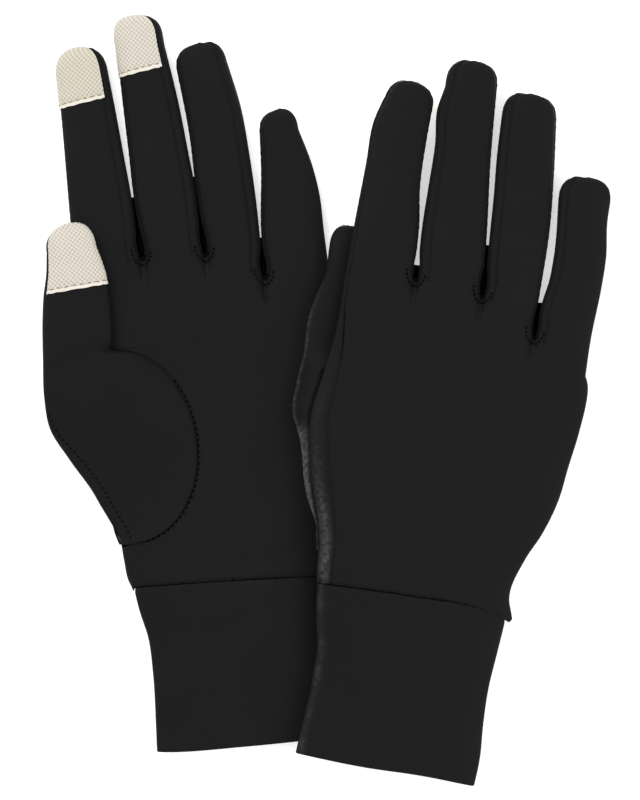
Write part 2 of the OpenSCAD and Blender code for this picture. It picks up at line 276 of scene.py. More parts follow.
LEFT_THUMB = ThumbCut(
    outer=((75, -33.4), (78, -34.2), (82, -35.4), (86, -37.0), (92, -39.4), (96, -40.9), (109, -47.4), (121, -52.6),
           (132, -52.9), (146, -51.2), (160, -49.2), (168, -47.6), (175, -45.6), (183, -44.2)),
    inner=((145, -27.0), (152, -25.6), (160, -24.9), (172, -24.9), (183, -27.0)),
    tip=(191.4, -34.6),
)
RIGHT_THUMB = ThumbCut(
    outer=((75, -32.8), (78, -33.4), (82, -34.2), (87, -35.7), (96, -39.7), (116, -44.6), (127, -48.6), (134, -48.4),
           (149, -47.0), (160, -46.9), (168, -45.4), (177, -42.9), (187, -42.6)),
    inner=((145, -27.0), (152, -25.6), (160, -24.8), (172, -25.0), (187, -27.6)),
    tip=(195.8, -36.4),
)
CUFF_LEFT = ((-4, -33.2), (3, -32.6), (12, -31.6), (30, -29.9), (43, -29.7), (52, -31.2), (66, -32.4))
LEFT = Pattern(
    side=Side.LEFT, fingers=LEFT_FINGERS, thumb=LEFT_THUMB, seed=0.7, cuff_left=CUFF_LEFT,
    thumb_side=((52, -31.4), (60, -32.1), (65, -33.6), (72, -34.0), (79, -34.3), (85, -35.8), (96, -38.4),
                (107, -40.2), (124, -42.0), (141, -39.6), (156, -37.2), (168, -36.0), (196, -34.4)),
    little_side=((50, 35.4), (57, 36.0), (66, 37.0), (79, 40.4), (90, 44.8), (103, 49.0), (122, 52.6), (143, 54.0),
                 (152, 53.4), (178, 54.0)),
    wrist=((-32, 61.2), (0, 58.6), (36, 54.9)),
    cuff_right=((-4, 32.6), (20, 32.4), (40, 33.0), (62, 34.2)),
    hem=((-34, 2.6), (-26, 1.4), (0, -0.6), (34, -2.4)))
RIGHT = Pattern(
    side=Side.RIGHT, fingers=RIGHT_FINGERS, thumb=RIGHT_THUMB, seed=2.9, cuff_left=CUFF_LEFT,
    thumb_side=((52, -31.2), (60, -31.6), (68, -32.8), (80, -33.6), (107, -39.8), (124, -42.0), (141, -39.6),
                (156, -37.2), (168, -36.0), (196, -34.4)),
    little_side=((54, 36.2), (59, 37.8), (62, 37.4), (66, 36.2), (82, 39.8), (92, 44.7), (104.7, 49.0), (118, 51.2),
                 (130, 53.3), (147.7, 54.7), (157, 53.4), (178, 54.6)),
    wrist=((-32, 64.9), (0, 64.2), (24, 62.6), (38, 58.6)),
    cuff_right=((-4, 31.6), (8, 32.6), (20, 32.3), (35, 32.7), (45, 33.9), (56, 35.2), (64, 36.0)),
    hem=((-34, 2.6), (-6, 0.0), (14, -0.8), (34, -2.8)),
    gap_starts=(184.5, 195.0, 176.5), gather=0.966, roll=0.155, tip_roll=0.05)


# ---------------------------------------------------------------- where a glove lies


@dataclass
class Lie:
    """Turns places on a glove's pattern into places in the frame.

    Args:
        pattern: The glove's pattern.
    """

    pattern: Pattern
    across: Array = field(init=False)
    along: Array = field(init=False)
    origin: Array = field(init=False)

    def __post_init__(self) -> None:
        """Reads the glove's place and turn from its middle finger's fold hinge."""
        name = f"{self.pattern.side.value}_middle_fold"
        hinge = next(j for j in frame["joints"] if j["name"] == name)
        axis = np.array(hinge["axis"][:2])
        self.across = axis / np.linalg.norm(axis)
        self.along = np.array([-self.across[1], self.across[0]])
        a, l = self.pattern.middle_fold_at
        pos = np.array(hinge["pos_m"][:2])
        self.origin = pos - self.across * a * MM - self.along * l * self.pattern.gather * MM

    def lift(self, a: Array, l: Array) -> Array:
        """Height that the glove's lie adds at a place on it, in millimetres.

        Args:
            a: Places across, in millimetres.
            l: Places along, in millimetres.

        Returns:
            The heights, in millimetres.
        """
        p = self.pattern
        slope = mix(p.roll, p.tip_roll, smooth((l - p.drop_from) / (p.drop_to - p.drop_from)))
        edge = np.interp(l, [0, 59, 88.5, 113, 143, 177], [33, 36, 45.2, 51, 54.4, 52.8])
        return slope * (edge - a)

    def place(self, a: Array, l: Array, w: Array) -> Array:
        """Places in the frame.

        Args:
            a: Places across, in millimetres.
            l: Places along, in millimetres.
            w: Heights over the middle layer, in millimetres.

        Returns:
            Points in metres, with one more axis than the inputs.
        """
        p = self.pattern
        up = w if p.side is Side.LEFT else -w
        z = np.maximum(0.0, p.half_height + up + self.lift(a, l))
        flat = self.origin + (a[..., None] * self.across + l[..., None] * p.gather * self.along) * MM
        return np.concatenate([flat, z[..., None] * MM], axis=-1)

    def pattern_places(self, points: Array) -> tuple[Array, Array]:
        """The pattern's places across and along, in millimetres, of points in the frame."""
        flat = (points[:, :2] - self.origin) / MM
        return flat @ self.across, flat @ self.along / self.pattern.gather

    def point(self, a: float, l: float, w: float) -> Vector:
        """One place in the frame."""
        return Vector(self.place(np.array(a), np.array(l), np.array(w)))


# ---------------------------------------------------------------- cloth


@dataclass(frozen=True)
class Seam:
    """How a cut edge sinks into its seam.

    Args:
        depth: Depth of the groove at the edge, in millimetres.
        width: Width of the groove.
        ridge: Height of the turned-in allowance beside it.
        ridge_at: Distance of that ridge from the edge.
        pucker: Share by which the stitches gather the groove.
    """

    depth: float = 0.42
    width: float = 0.55
    ridge: float = 0.16
    ridge_at: float = 1.7
    pucker: float = 0.35

    def sink(self, distance: Array, run: Array) -> Array:
        """Depth below the plain surface, in millimetres.

        Args:
            distance: Distance from the seam.
            run: Place along the seam.

        Returns:
            The depth, negative on the ridge.
        """
        gather = 1 + self.pucker * np.sin(run * 2.1) * np.sin(run * 0.37 + 1)
        groove = self.depth * np.exp(-((distance / self.width) ** 2))
        ridge = self.ridge * np.exp(-(((distance - self.ridge_at) / 0.8) ** 2))
        return groove * gather - ridge * gather


SEAM = Seam()
DEEP_SEAM = Seam(depth=0.6, width=0.6, ridge=0.24, ridge_at=1.5)
SOFT_SEAM = Seam(depth=0.16, width=0.7, ridge=0.10, ridge_at=1.6)


@dataclass
class Cloth:
    """A grid of places on the pattern that becomes one closed sheet of fabric.

    Args:
        grid: Outer places, rows by columns by (a, l, w).
        wall: Thickness of the fabric.
        inside: Places on the glove's middle, of the same shape, that tell inside from outside.
        wrap: Whether the columns close into a tube.
        stay: Whether the inner face keeps to its own side of the middle layer.
        seams: Seams on the first column, last column, first row and last row.
    """

    grid: Array
    wall: float
    inside: Array
    wrap: bool = False
    stay: bool = False
    seams: tuple[Seam | None, Seam | None, Seam | None, Seam | None] = (None, None, None, None)

    def normals(self) -> Array:
        """Outward directions at every place of the grid.

        Returns:
            A unit direction for each place, pointing away from the places inside.
        """
        g = self.grid
        along = np.gradient(g, axis=0)
        if self.wrap:
            across = np.roll(g, -1, axis=1) - np.roll(g, 1, axis=1)
        else:
            across = np.gradient(g, axis=1)
        n = np.cross(across, along)
        size = np.linalg.norm(n, axis=-1, keepdims=True)
        n = n / np.maximum(size, 1e-9)
        n[size[..., 0] < 1e-7] = (0.0, 1.0, 0.0)
        if np.mean(np.sum(n * (g - self.inside), axis=-1)) < 0:
            n[size[..., 0] >= 1e-7] *= -1
        return n

    def sunk(self, n: Array) -> Array:
        """The outer places with the edges turned into their seams.

        Args:
            n: Outward directions at the places.

        Returns:
            The moved places.
        """
        g = self.grid
        out = g.copy()
        step = np.linalg.norm(np.diff(g, axis=1), axis=-1)
        from_first = np.concatenate([np.zeros((len(g), 1)), np.cumsum(step, axis=1)], axis=1)
        rise = np.linalg.norm(np.diff(g, axis=0), axis=-1)
        from_start = np.concatenate([np.zeros((1, g.shape[1])), np.cumsum(rise, axis=0)], axis=0)
        reach = (from_first, from_first[:, -1:] - from_first, from_start, from_start[-1:] - from_start)
        runs = (from_start, from_start, from_first, from_first)
        width = np.maximum(from_first[:, -1:], 1e-6)
        for seam, distance, run in zip(self.seams, reach, runs):
            if seam is not None:
                fade = np.clip(width / 3.0, 0, 1)
                out -= n * (seam.sink(distance, run) * fade)[..., None]
        return out

    def build(self, name: str, lie: Lie) -> bpy.types.Object:
        """Makes the closed sheet.

        Args:
            name: The piece's name.
            lie: Where its glove lies.

        Returns:
            The piece, in metres, with its cloth's own coordinates in a UV map.
        """
        n = self.normals()
        outer = self.sunk(n)
        inner = outer - n * self.wall
        if self.stay:
            face = np.sign(np.sum(self.grid[..., 2]))
            crossed = inner[..., 2] * face < 0.04
            inner[..., 2] = np.where(crossed, np.minimum(0.04, np.abs(outer[..., 2])) * face, inner[..., 2])
        rows, cols = outer.shape[:2]
        places = np.concatenate([outer.reshape(-1, 3), inner.reshape(-1, 3)])
        points = lie.place(places[:, 0], places[:, 1], places[:, 2])
        return new_piece(name, points, self.faces(rows, cols), self.cloth_places())

    def faces(self, rows: int, cols: int) -> list[tuple[int, int, int, int]]:
        """Corners of the sheet's faces: both sides and the cut edges between them.

        Args:
            rows: Number of the grid's rows.
            cols: Number of its columns.

        Returns:
            The numbers of each face's points.
        """
        last = cols if self.wrap else cols - 1
        under = rows * cols
        out = []
        for i in range(rows - 1):
            for j in range(last):
                k = (j + 1) % cols
                a, b, c, d = i * cols + j, i * cols + k, (i + 1) * cols + k, (i + 1) * cols + j
                out += [(a, b, c, d), (under + d, under + c, under + b, under + a)]
        for j in range(last):
            k = (j + 1) % cols
            top = (rows - 1) * cols
            out += [(under + j, under + k, k, j), (top + j, top + k, under + top + k, under + top + j)]
        if not self.wrap:
            for i in range(rows - 1):
                a, b, e = i * cols, (i + 1) * cols, cols - 1
                out += [(a, b, under + b, under + a), (under + a + e, under + b + e, b + e, a + e)]
        return out

    def cloth_places(self) -> Array:
        """The cloth's own coordinates, in metres, along its rows and columns, for both of its faces.

        Returns:
            One pair of coordinates for each point of the sheet.
        """
        step = np.linalg.norm(np.diff(self.grid, axis=1), axis=-1)
        across = np.concatenate([np.zeros((len(self.grid), 1)), np.cumsum(step, axis=1)], axis=1)
        across -= across[:, across.shape[1] // 2][:, None]
        return np.tile(np.stack([across, self.grid[..., 1]], axis=-1).reshape(-1, 2), (2, 1)) * MM


def new_piece(name: str, points: Array, faces: list, cloth: Array | None = None) -> bpy.types.Object:
    """Makes a closed piece.

    Args:
        name: The piece's name.
        points: Its points in the frame, in metres.
        faces: The points of each face.
        cloth: Each point's place on its own cloth, in metres.

    Returns:
        The piece, with its faces outwards.
    """
    mesh = bpy.data.meshes.new(name)
    mesh.from_pydata(points.tolist(), [], faces)
    if cloth is not None:
        corner = np.zeros(len(mesh.loops), np.int32)
        mesh.loops.foreach_get("vertex_index", corner)
        mesh.uv_layers.new(name="Cloth").data.foreach_set("uv", cloth[corner].astype(np.float32).ravel())
    piece = bpy.data.objects.new(name, mesh)
    bpy.context.scene.collection.objects.link(piece)
    close(piece)
    return piece


def close(piece: bpy.types.Object) -> None:
    """Merges doubles, turns every face outwards and shades the piece smooth.

    Args:
        piece: The piece to finish.
    """
    bpy.ops.object.select_all(action="DESELECT")
    piece.select_set(True)
    bpy.context.view_layer.objects.active = piece
    bpy.ops.object.mode_set(mode="EDIT")
    bpy.ops.mesh.select_all(action="SELECT")
    bpy.ops.mesh.remove_doubles(threshold=2e-7)
    bpy.ops.mesh.dissolve_degenerate(threshold=1e-8)
    bpy.ops.mesh.normals_make_consistent(inside=False)
    bpy.ops.mesh.select_all(action="DESELECT")
    bpy.ops.object.mode_set(mode="OBJECT")
    bpy.ops.object.shade_smooth_by_angle(angle=math.radians(50))
    piece.select_set(False)


def paint_sheen(piece: bpy.types.Object, lie: Lie, painted_sheen: Callable[[Array, Array], Array]) -> None:
    """Marks where a piece gets painted sheen: pale grey standing in for grazing light on its fibres.

    Args:
        piece: The piece, with its mesh final.
        lie: Where its glove lies.
        painted_sheen: Strength of the painted sheen, from places across and along.
    """
    count = len(piece.data.vertices)
    points = np.zeros(count * 3)
    piece.data.vertices.foreach_get("co", points)
    a, l = lie.pattern_places(points.reshape(-1, 3))
    layer = piece.data.attributes.new("Nap", "FLOAT", "POINT")
    layer.data.foreach_set("value", np.clip(painted_sheen(a, l), 0, 1).astype(np.float32))


# ---------------------------------------------------------------- materials


class Maths:
    """A number on a node's socket, with Python's operators.

    Args:
        nodes: The material's graph.
        socket: The socket that carries the number.
    """

    def __init__(self, nodes: "Graph", socket: bpy.types.NodeSocket) -> None:
        """Wraps one socket."""
        self.nodes = nodes
        self.socket = socket

    def math(self, operation: str, *values: "Maths | float", clamp: bool = False) -> "Maths":
        """Adds a Math node.

        Args:
            operation: Its operation.
            values: Its inputs.
            clamp: Whether its result stays from 0 to 1.

        Returns:
            The result.
        """
        inputs = {i: v for i, v in enumerate(values)}
        node = self.nodes.add("ShaderNodeMath", dict(operation=operation, use_clamp=clamp), inputs)
        return Maths(self.nodes, node.outputs[0])

    def __add__(self, other: "Maths | float") -> "Maths":
        """self + other."""
        return self.math("ADD", self, other)

    def __radd__(self, other: float) -> "Maths":
        """other + self."""
        return self.math("ADD", other, self)

    def __sub__(self, other: "Maths | float") -> "Maths":
        """self - other."""
        return self.math("SUBTRACT", self, other)

    def __rsub__(self, other: float) -> "Maths":
        """other - self."""
        return self.math("SUBTRACT", other, self)

    def __mul__(self, other: "Maths | float") -> "Maths":
        """self * other."""
        return self.math("MULTIPLY", self, other)

    def __rmul__(self, other: float) -> "Maths":
        """other * self."""
        return self.math("MULTIPLY", other, self)

    def sine(self) -> "Maths":
        """The sine of self."""
        return self.math("SINE", self)

    def absolute(self) -> "Maths":
        """self without its sign."""
        return self.math("ABSOLUTE", self)

    def clipped(self) -> "Maths":
        """self held from 0 to 1."""
        return self.math("ADD", self, 0.0, clamp=True)


class Graph:
    """A material and its nodes.

    Args:
        name: The material's name.
    """

    def __init__(self, name: str) -> None:
        """Starts a material with only its shader and output.

        Args:
            name: The material's name.
        """
        self.material = bpy.data.materials.new(name)
        self.material.use_nodes = True
        self.tree = self.material.node_tree
        self.shader = next(n for n in self.tree.nodes if n.type == "BSDF_PRINCIPLED")

    def add(self, kind: str, settings: dict, inputs: dict) -> bpy.types.Node:
        """Adds one node.

        Args:
            kind: The node's type.
            settings: Its own settings, which are set first.
            inputs: Values or links of its sockets, by name or number.

        Returns:
            The node.
        """
        node = self.tree.nodes.new(kind)
        for key, value in settings.items():
            setattr(node, key, value)
        for key, value in inputs.items():
            self.feed(node.inputs[key], value)
        return node

    def feed(self, socket: bpy.types.NodeSocket, value: object) -> None:
        """Sets a socket, or links it where the value is another socket.

        Args:
            socket: The socket to set.
            value: A number, a colour or another socket.
        """
        if isinstance(value, Maths):
            value = value.socket
        if isinstance(value, bpy.types.NodeSocket):
            self.tree.links.new(value, socket)
        else:
            socket.default_value = value

    def shade(self, **values: object) -> None:
        """Feeds the shader's sockets, given by their names with _ for a space."""
        for key, value in values.items():
            self.feed(self.shader.inputs[key.replace("_", " ")], value)

    def cloth(self) -> tuple[Maths, Maths]:
        """The cloth's own coordinates, in metres: across its columns and along its rows.

        Returns:
            The coordinate across and the one along.
        """
        uv = self.add("ShaderNodeUVMap", dict(uv_map="Cloth"), {})
        split = self.add("ShaderNodeSeparateXYZ", {}, {0: uv.outputs[0]})
        return Maths(self, split.outputs[0]), Maths(self, split.outputs[1])

    def speckle(self, scale: float, detail: float) -> Maths:
        """Noise over the object's own space, from 0 to 1.

        Args:
            scale: How fine the noise is.
            detail: How many finer layers it has.

        Returns:
            The noise.
        """
        where = self.add("ShaderNodeTexCoord", {}, {})
        node = self.add("ShaderNodeTexNoise", {}, {"Vector": where.outputs["Object"], "Scale": scale, "Detail": detail})
        return Maths(self, node.outputs["Fac"])

    def tint(self, factor: Maths, low: Sequence[float], high: Sequence[float]) -> bpy.types.NodeSocket:
        """A colour between two, by a factor."""
        node = self.add("ShaderNodeMix", dict(data_type="RGBA"), {0: factor, 6: (*low, 1.0), 7: (*high, 1.0)})
        return node.outputs[2]

    def bump(self, height: Maths, strength: float, distance: float) -> bpy.types.NodeSocket:
        """A bumped normal from a height."""
        node = self.add("ShaderNodeBump", {}, {"Height": height, "Strength": strength, "Distance": distance})
        return node.outputs[0]


@dataclass(frozen=True)
class Jersey:
    """Smooth stretch jersey: fine wales of small V stitches with a soft sheen.

    Args:
        name: The finish's name.
        dark: Colour in the hollows of the knit, darker there as painted shade.
        light: Colour on the stitches.
        raised: Pale grey painted as a sheen highlight where a piece marks grazing light.
        sheen: Strength of the fabric's soft sheen.
        wale: Width of one wale, in metres.
    """

    name: str = "black_jersey"
    dark: tuple[float, float, float] = (0.0009, 0.0009, 0.0010)
    light: tuple[float, float, float] = (0.0029, 0.0029, 0.0031)
    # Pale grey painted where a piece marks it: a sheen highlight standing in for grazing light.
    raised: tuple[float, float, float] = (0.105, 0.105, 0.108)
    sheen: float = 0.05
    wale: float = 0.0009

    def make(self) -> bpy.types.Material:
        """Builds the material.

        Returns:
            The jersey's material.
        """
        g = Graph(self.name)
        across, along = g.cloth()
        turn = 2 * math.pi / self.wale
        wales = (across * turn).sine()
        courses = (along * (turn * 0.72) + wales.absolute() * 1.9).sine()
        knit = (wales * 0.5 + courses * 0.5) * 0.5 + 0.5
        fuzz = g.speckle(2600.0, 2.0)
        cloud = g.speckle(38.0, 3.0)
        height = knit * 0.7 + fuzz * 0.5
        # Painted sheen: a per-point mask, set on a few pieces, that mixes in the pale grey below.
        painted_sheen = Maths(g, g.add("ShaderNodeAttribute", dict(attribute_name="Nap"), {}).outputs["Fac"])
        # Darker in the knit's hollows as painted shade, mixed with random tone from the cloud noise.
        plain = g.tint((height * 0.45 + cloud * 0.5).clipped(), self.dark, self.light)
        grain = g.speckle(700.0, 3.0)
        colour = g.add("ShaderNodeMix", dict(data_type="RGBA"),
                       {0: (painted_sheen * (grain * 1.9 - 0.45)).clipped(), 6: plain, 7: (*self.raised, 1.0)})
        g.shade(Base_Color=colour.outputs[2],
                Roughness=cloud * 0.12 + 0.68, Normal=g.bump(height, 0.32, 0.00012),
                Specular_IOR_Level=0.2, Sheen_Weight=self.sheen, Sheen_Roughness=0.28,
                Sheen_Tint=(0.88, 0.90, 0.93, 1.0))
        return g.material


@dataclass(frozen=True)
class TouchKnit:
    """Cream conductive knit with a diagonal mesh.

    Args:
        name: The finish's name.
        thread: Colour on top of the threads.
        hollow: Colour in the mesh's small holes, darker there as painted shade.
        pitch: Distance between holes, in metres.
        contrast: How strongly the holes show.
    """

    name: str = "touch_knit"
    thread: tuple[float, float, float] = (0.705, 0.645, 0.570)
    hollow: tuple[float, float, float] = (0.260, 0.235, 0.185)
    pitch: float = 0.00165
    contrast: float = 0.72

    def make(self) -> bpy.types.Material:
        """Builds the material.

        Returns:
            The touch knit's material.
        """
        g = Graph(self.name)
        across, along = g.cloth()
        turn = math.pi / self.pitch
        one = ((across + along) * turn).sine().absolute()
        other = ((across - along) * turn).sine().absolute()
        mesh = (one * other).math("POWER", one * other, 0.8)
        fuzz = g.speckle(3200.0, 2.0)
        cloud = g.speckle(120.0, 2.0)
        # Darker in the mesh's holes as painted shade, with random tone from the fuzz and cloud noise.
        shade = (1.0 - mesh * self.contrast + fuzz * 0.22 - 0.05 + cloud * 0.18 - 0.05).clipped()
        height = 1.0 - mesh + fuzz * 0.3
        g.shade(Base_Color=g.tint(shade, self.hollow, self.thread), Roughness=0.72,
                Normal=g.bump(height, 0.6, 0.00022), Specular_IOR_Level=0.3, Sheen_Weight=0.12,
                Sheen_Roughness=0.5)
        return g.material


@dataclass(frozen=True)
class Thread:
    """Sewing thread with a slight twist.

    Args:
        name: The finish's name.
        dark: Colour between the strands, darker there as painted shade.
        light: Colour on the strands.
        gloss: Strength of its shine.
    """

    name: str
    dark: tuple[float, float, float]
    light: tuple[float, float, float]
    gloss: float = 0.3

    def make(self) -> bpy.types.Material:
        """Builds the material.

        Returns:
            The thread's material.
        """
        g = Graph(self.name)
        strand = g.speckle(2400.0, 1.0)
        # Darker between the strands as painted shade, following the same noise as the bump.
        g.shade(Base_Color=g.tint(strand, self.dark, self.light), Roughness=strand * 0.2 + 0.5,
                Normal=g.bump(strand, 0.3, 0.0001), Specular_IOR_Level=self.gloss)
        return g.material


@dataclass(frozen=True)
class Paper:
    """The pale, plain surface under the gloves."""

    name: str = "pale_floor"
    colour: tuple[float, float, float] = (0.93, 0.93, 0.93)
    glow: float = 0.5

    def make(self) -> bpy.types.Material:
        """Builds the material.

        Returns:
            The floor's material.
        """
        g = Graph(self.name)
        grain = g.speckle(30.0, 2.0)
        low = tuple(c * 0.995 for c in self.colour)
        g.shade(Base_Color=g.tint(grain, low, self.colour), Roughness=0.9, Specular_IOR_Level=0.1,
                Emission_Color=(1.0, 1.0, 1.0, 1.0), Emission_Strength=self.glow)
        return g.material


@dataclass
class Finishes:
    """Every finish, made once."""

    jersey: bpy.types.Material = field(default_factory=lambda: Jersey().make())
    # A slightly darker copy of the jersey: painted shade on the fourchettes, the side walls in the slits between
    # fingers.
    shaded_fourchette_jersey: bpy.types.Material = field(default_factory=lambda: Jersey(
        name="black_jersey_fourchette", dark=(0.0008, 0.0008, 0.0009), light=(0.0026, 0.0026, 0.0028)).make())
    # Near-black sheet material: painted shade for the deep slits between the fingers.
    slit_painted_shade: bpy.types.Material = field(default_factory=lambda: Thread(
        "black_jersey_web", (0.0003, 0.0003, 0.0003), (0.0007, 0.0007, 0.0007), gloss=0.02).make())
    touch: bpy.types.Material = field(default_factory=lambda: TouchKnit().make())
    touch_index: bpy.types.Material = field(default_factory=lambda: TouchKnit(
        name="touch_knit_index", thread=(0.665, 0.610, 0.510), hollow=(0.250, 0.228, 0.172)).make())
    touch_band: bpy.types.Material = field(default_factory=lambda: TouchKnit(
        name="touch_knit_edge", thread=(0.84, 0.79, 0.69), hollow=(0.70, 0.65, 0.55), pitch=0.0008,
        contrast=0.5).make())
    black_thread: bpy.types.Material = field(default_factory=lambda: Thread(
        "black_thread", (0.0004, 0.0004, 0.0004), (0.0012, 0.0012, 0.0012), gloss=0.05).make())
    taupe_thread: bpy.types.Material = field(default_factory=lambda: Thread(
        "taupe_thread", (0.20, 0.165, 0.13), (0.36, 0.31, 0.25)).make())


def dress(piece: bpy.types.Object, material: bpy.types.Material) -> bpy.types.Object:
    """Gives a piece its finish.

    Args:
        piece: The piece.
        material: Its finish.

    Returns:
        The same piece.
    """
    piece.data.materials.clear()
    piece.data.materials.append(material)
    return piece


# ---------------------------------------------------------------- stitches


@dataclass(frozen=True)
class Stitching:
    """A row of thread stitches laid on a path.

    Args:
        length: Length of one stitch, in millimetres.
        pitch: Distance from one stitch to the next.
        thickness: Thickness of the thread.
        sides: Sides of the thread's section.
    """

    length: float = 1.5
    pitch: float = 2.3
    thickness: float = 0.36
    sides: int = 6

    def template(self) -> tuple[Array, list[tuple[int, ...]]]:
        """Points and faces of one stitch along its own x axis, round at both ends.

        Returns:
            The stitch's points and its faces.
        """
        stations = ((-0.5, 0.25), (-0.42, 0.8), (-0.2, 1.0), (0.2, 1.0), (0.42, 0.8), (0.5, 0.25))
        points = []
        for x, size in stations:
            for j in range(self.sides):
                angle = 2 * math.pi * j / self.sides
                reach = self.thickness / 2 * size
                points.append((x * self.length, reach * math.cos(angle), reach * math.sin(angle)))
        n = self.sides
        faces = [(i * n + j, i * n + (j + 1) % n, (i + 1) * n + (j + 1) % n, (i + 1) * n + j)
                 for i in range(len(stations) - 1) for j in range(n)]
        faces += [tuple(reversed(range(n))), tuple((len(stations) - 1) * n + j for j in range(n))]
        return np.array(points), faces

    def sew(self, name: str, path: Array, normals: Array) -> bpy.types.Object:
        """Sews the row.

        Args:
            name: The piece's name.
            path: Points of the path in the frame, in metres.
            normals: Upward directions at those points.

        Returns:
            All the row's stitches as one piece.
        """
        step = np.linalg.norm(np.diff(path, axis=0), axis=1)
        run = np.concatenate([[0.0], np.cumsum(step)])
        count = max(1, int(run[-1] / (self.pitch * MM)))
        template, faces = self.template()
        points, corners = [], []
        for i in range(count):
            at = (i + 0.5) * run[-1] / count
            here = np.array([np.interp(at, run, path[:, c]) for c in range(3)])
            ahead = np.array([np.interp(at + 2e-4, run, path[:, c]) for c in range(3)])
            behind = np.array([np.interp(at - 2e-4, run, path[:, c]) for c in range(3)])
            up = np.array([np.interp(at, run, normals[:, c]) for c in range(3)])
            x = (ahead - behind) / max(np.linalg.norm(ahead - behind), 1e-12)
            y = np.cross(up, x)
            y /= max(np.linalg.norm(y), 1e-12)
            z = np.cross(x, y)
            base = len(points) * len(template)
            points.append(here + (template @ np.array([x, y, z])) * MM)
            corners += [tuple(base + c for c in face) for face in faces]
        return new_piece(name, np.concatenate(points), corners)


# ---------------------------------------------------------------- a glove


def fine(low: float, high: float, n: int) -> Array:
    """n + 1 places from low to high, closer together at both ends.

    Args:
        low: The first place.
        high: The last place.
        n: Number of steps.

    Returns:
        The places.
    """
    t = (1 - np.cos(np.linspace(0, math.pi, n + 1))) / 2
    t = 0.55 * t + 0.45 * np.linspace(0, 1, n + 1)
    return low + (high - low) * t


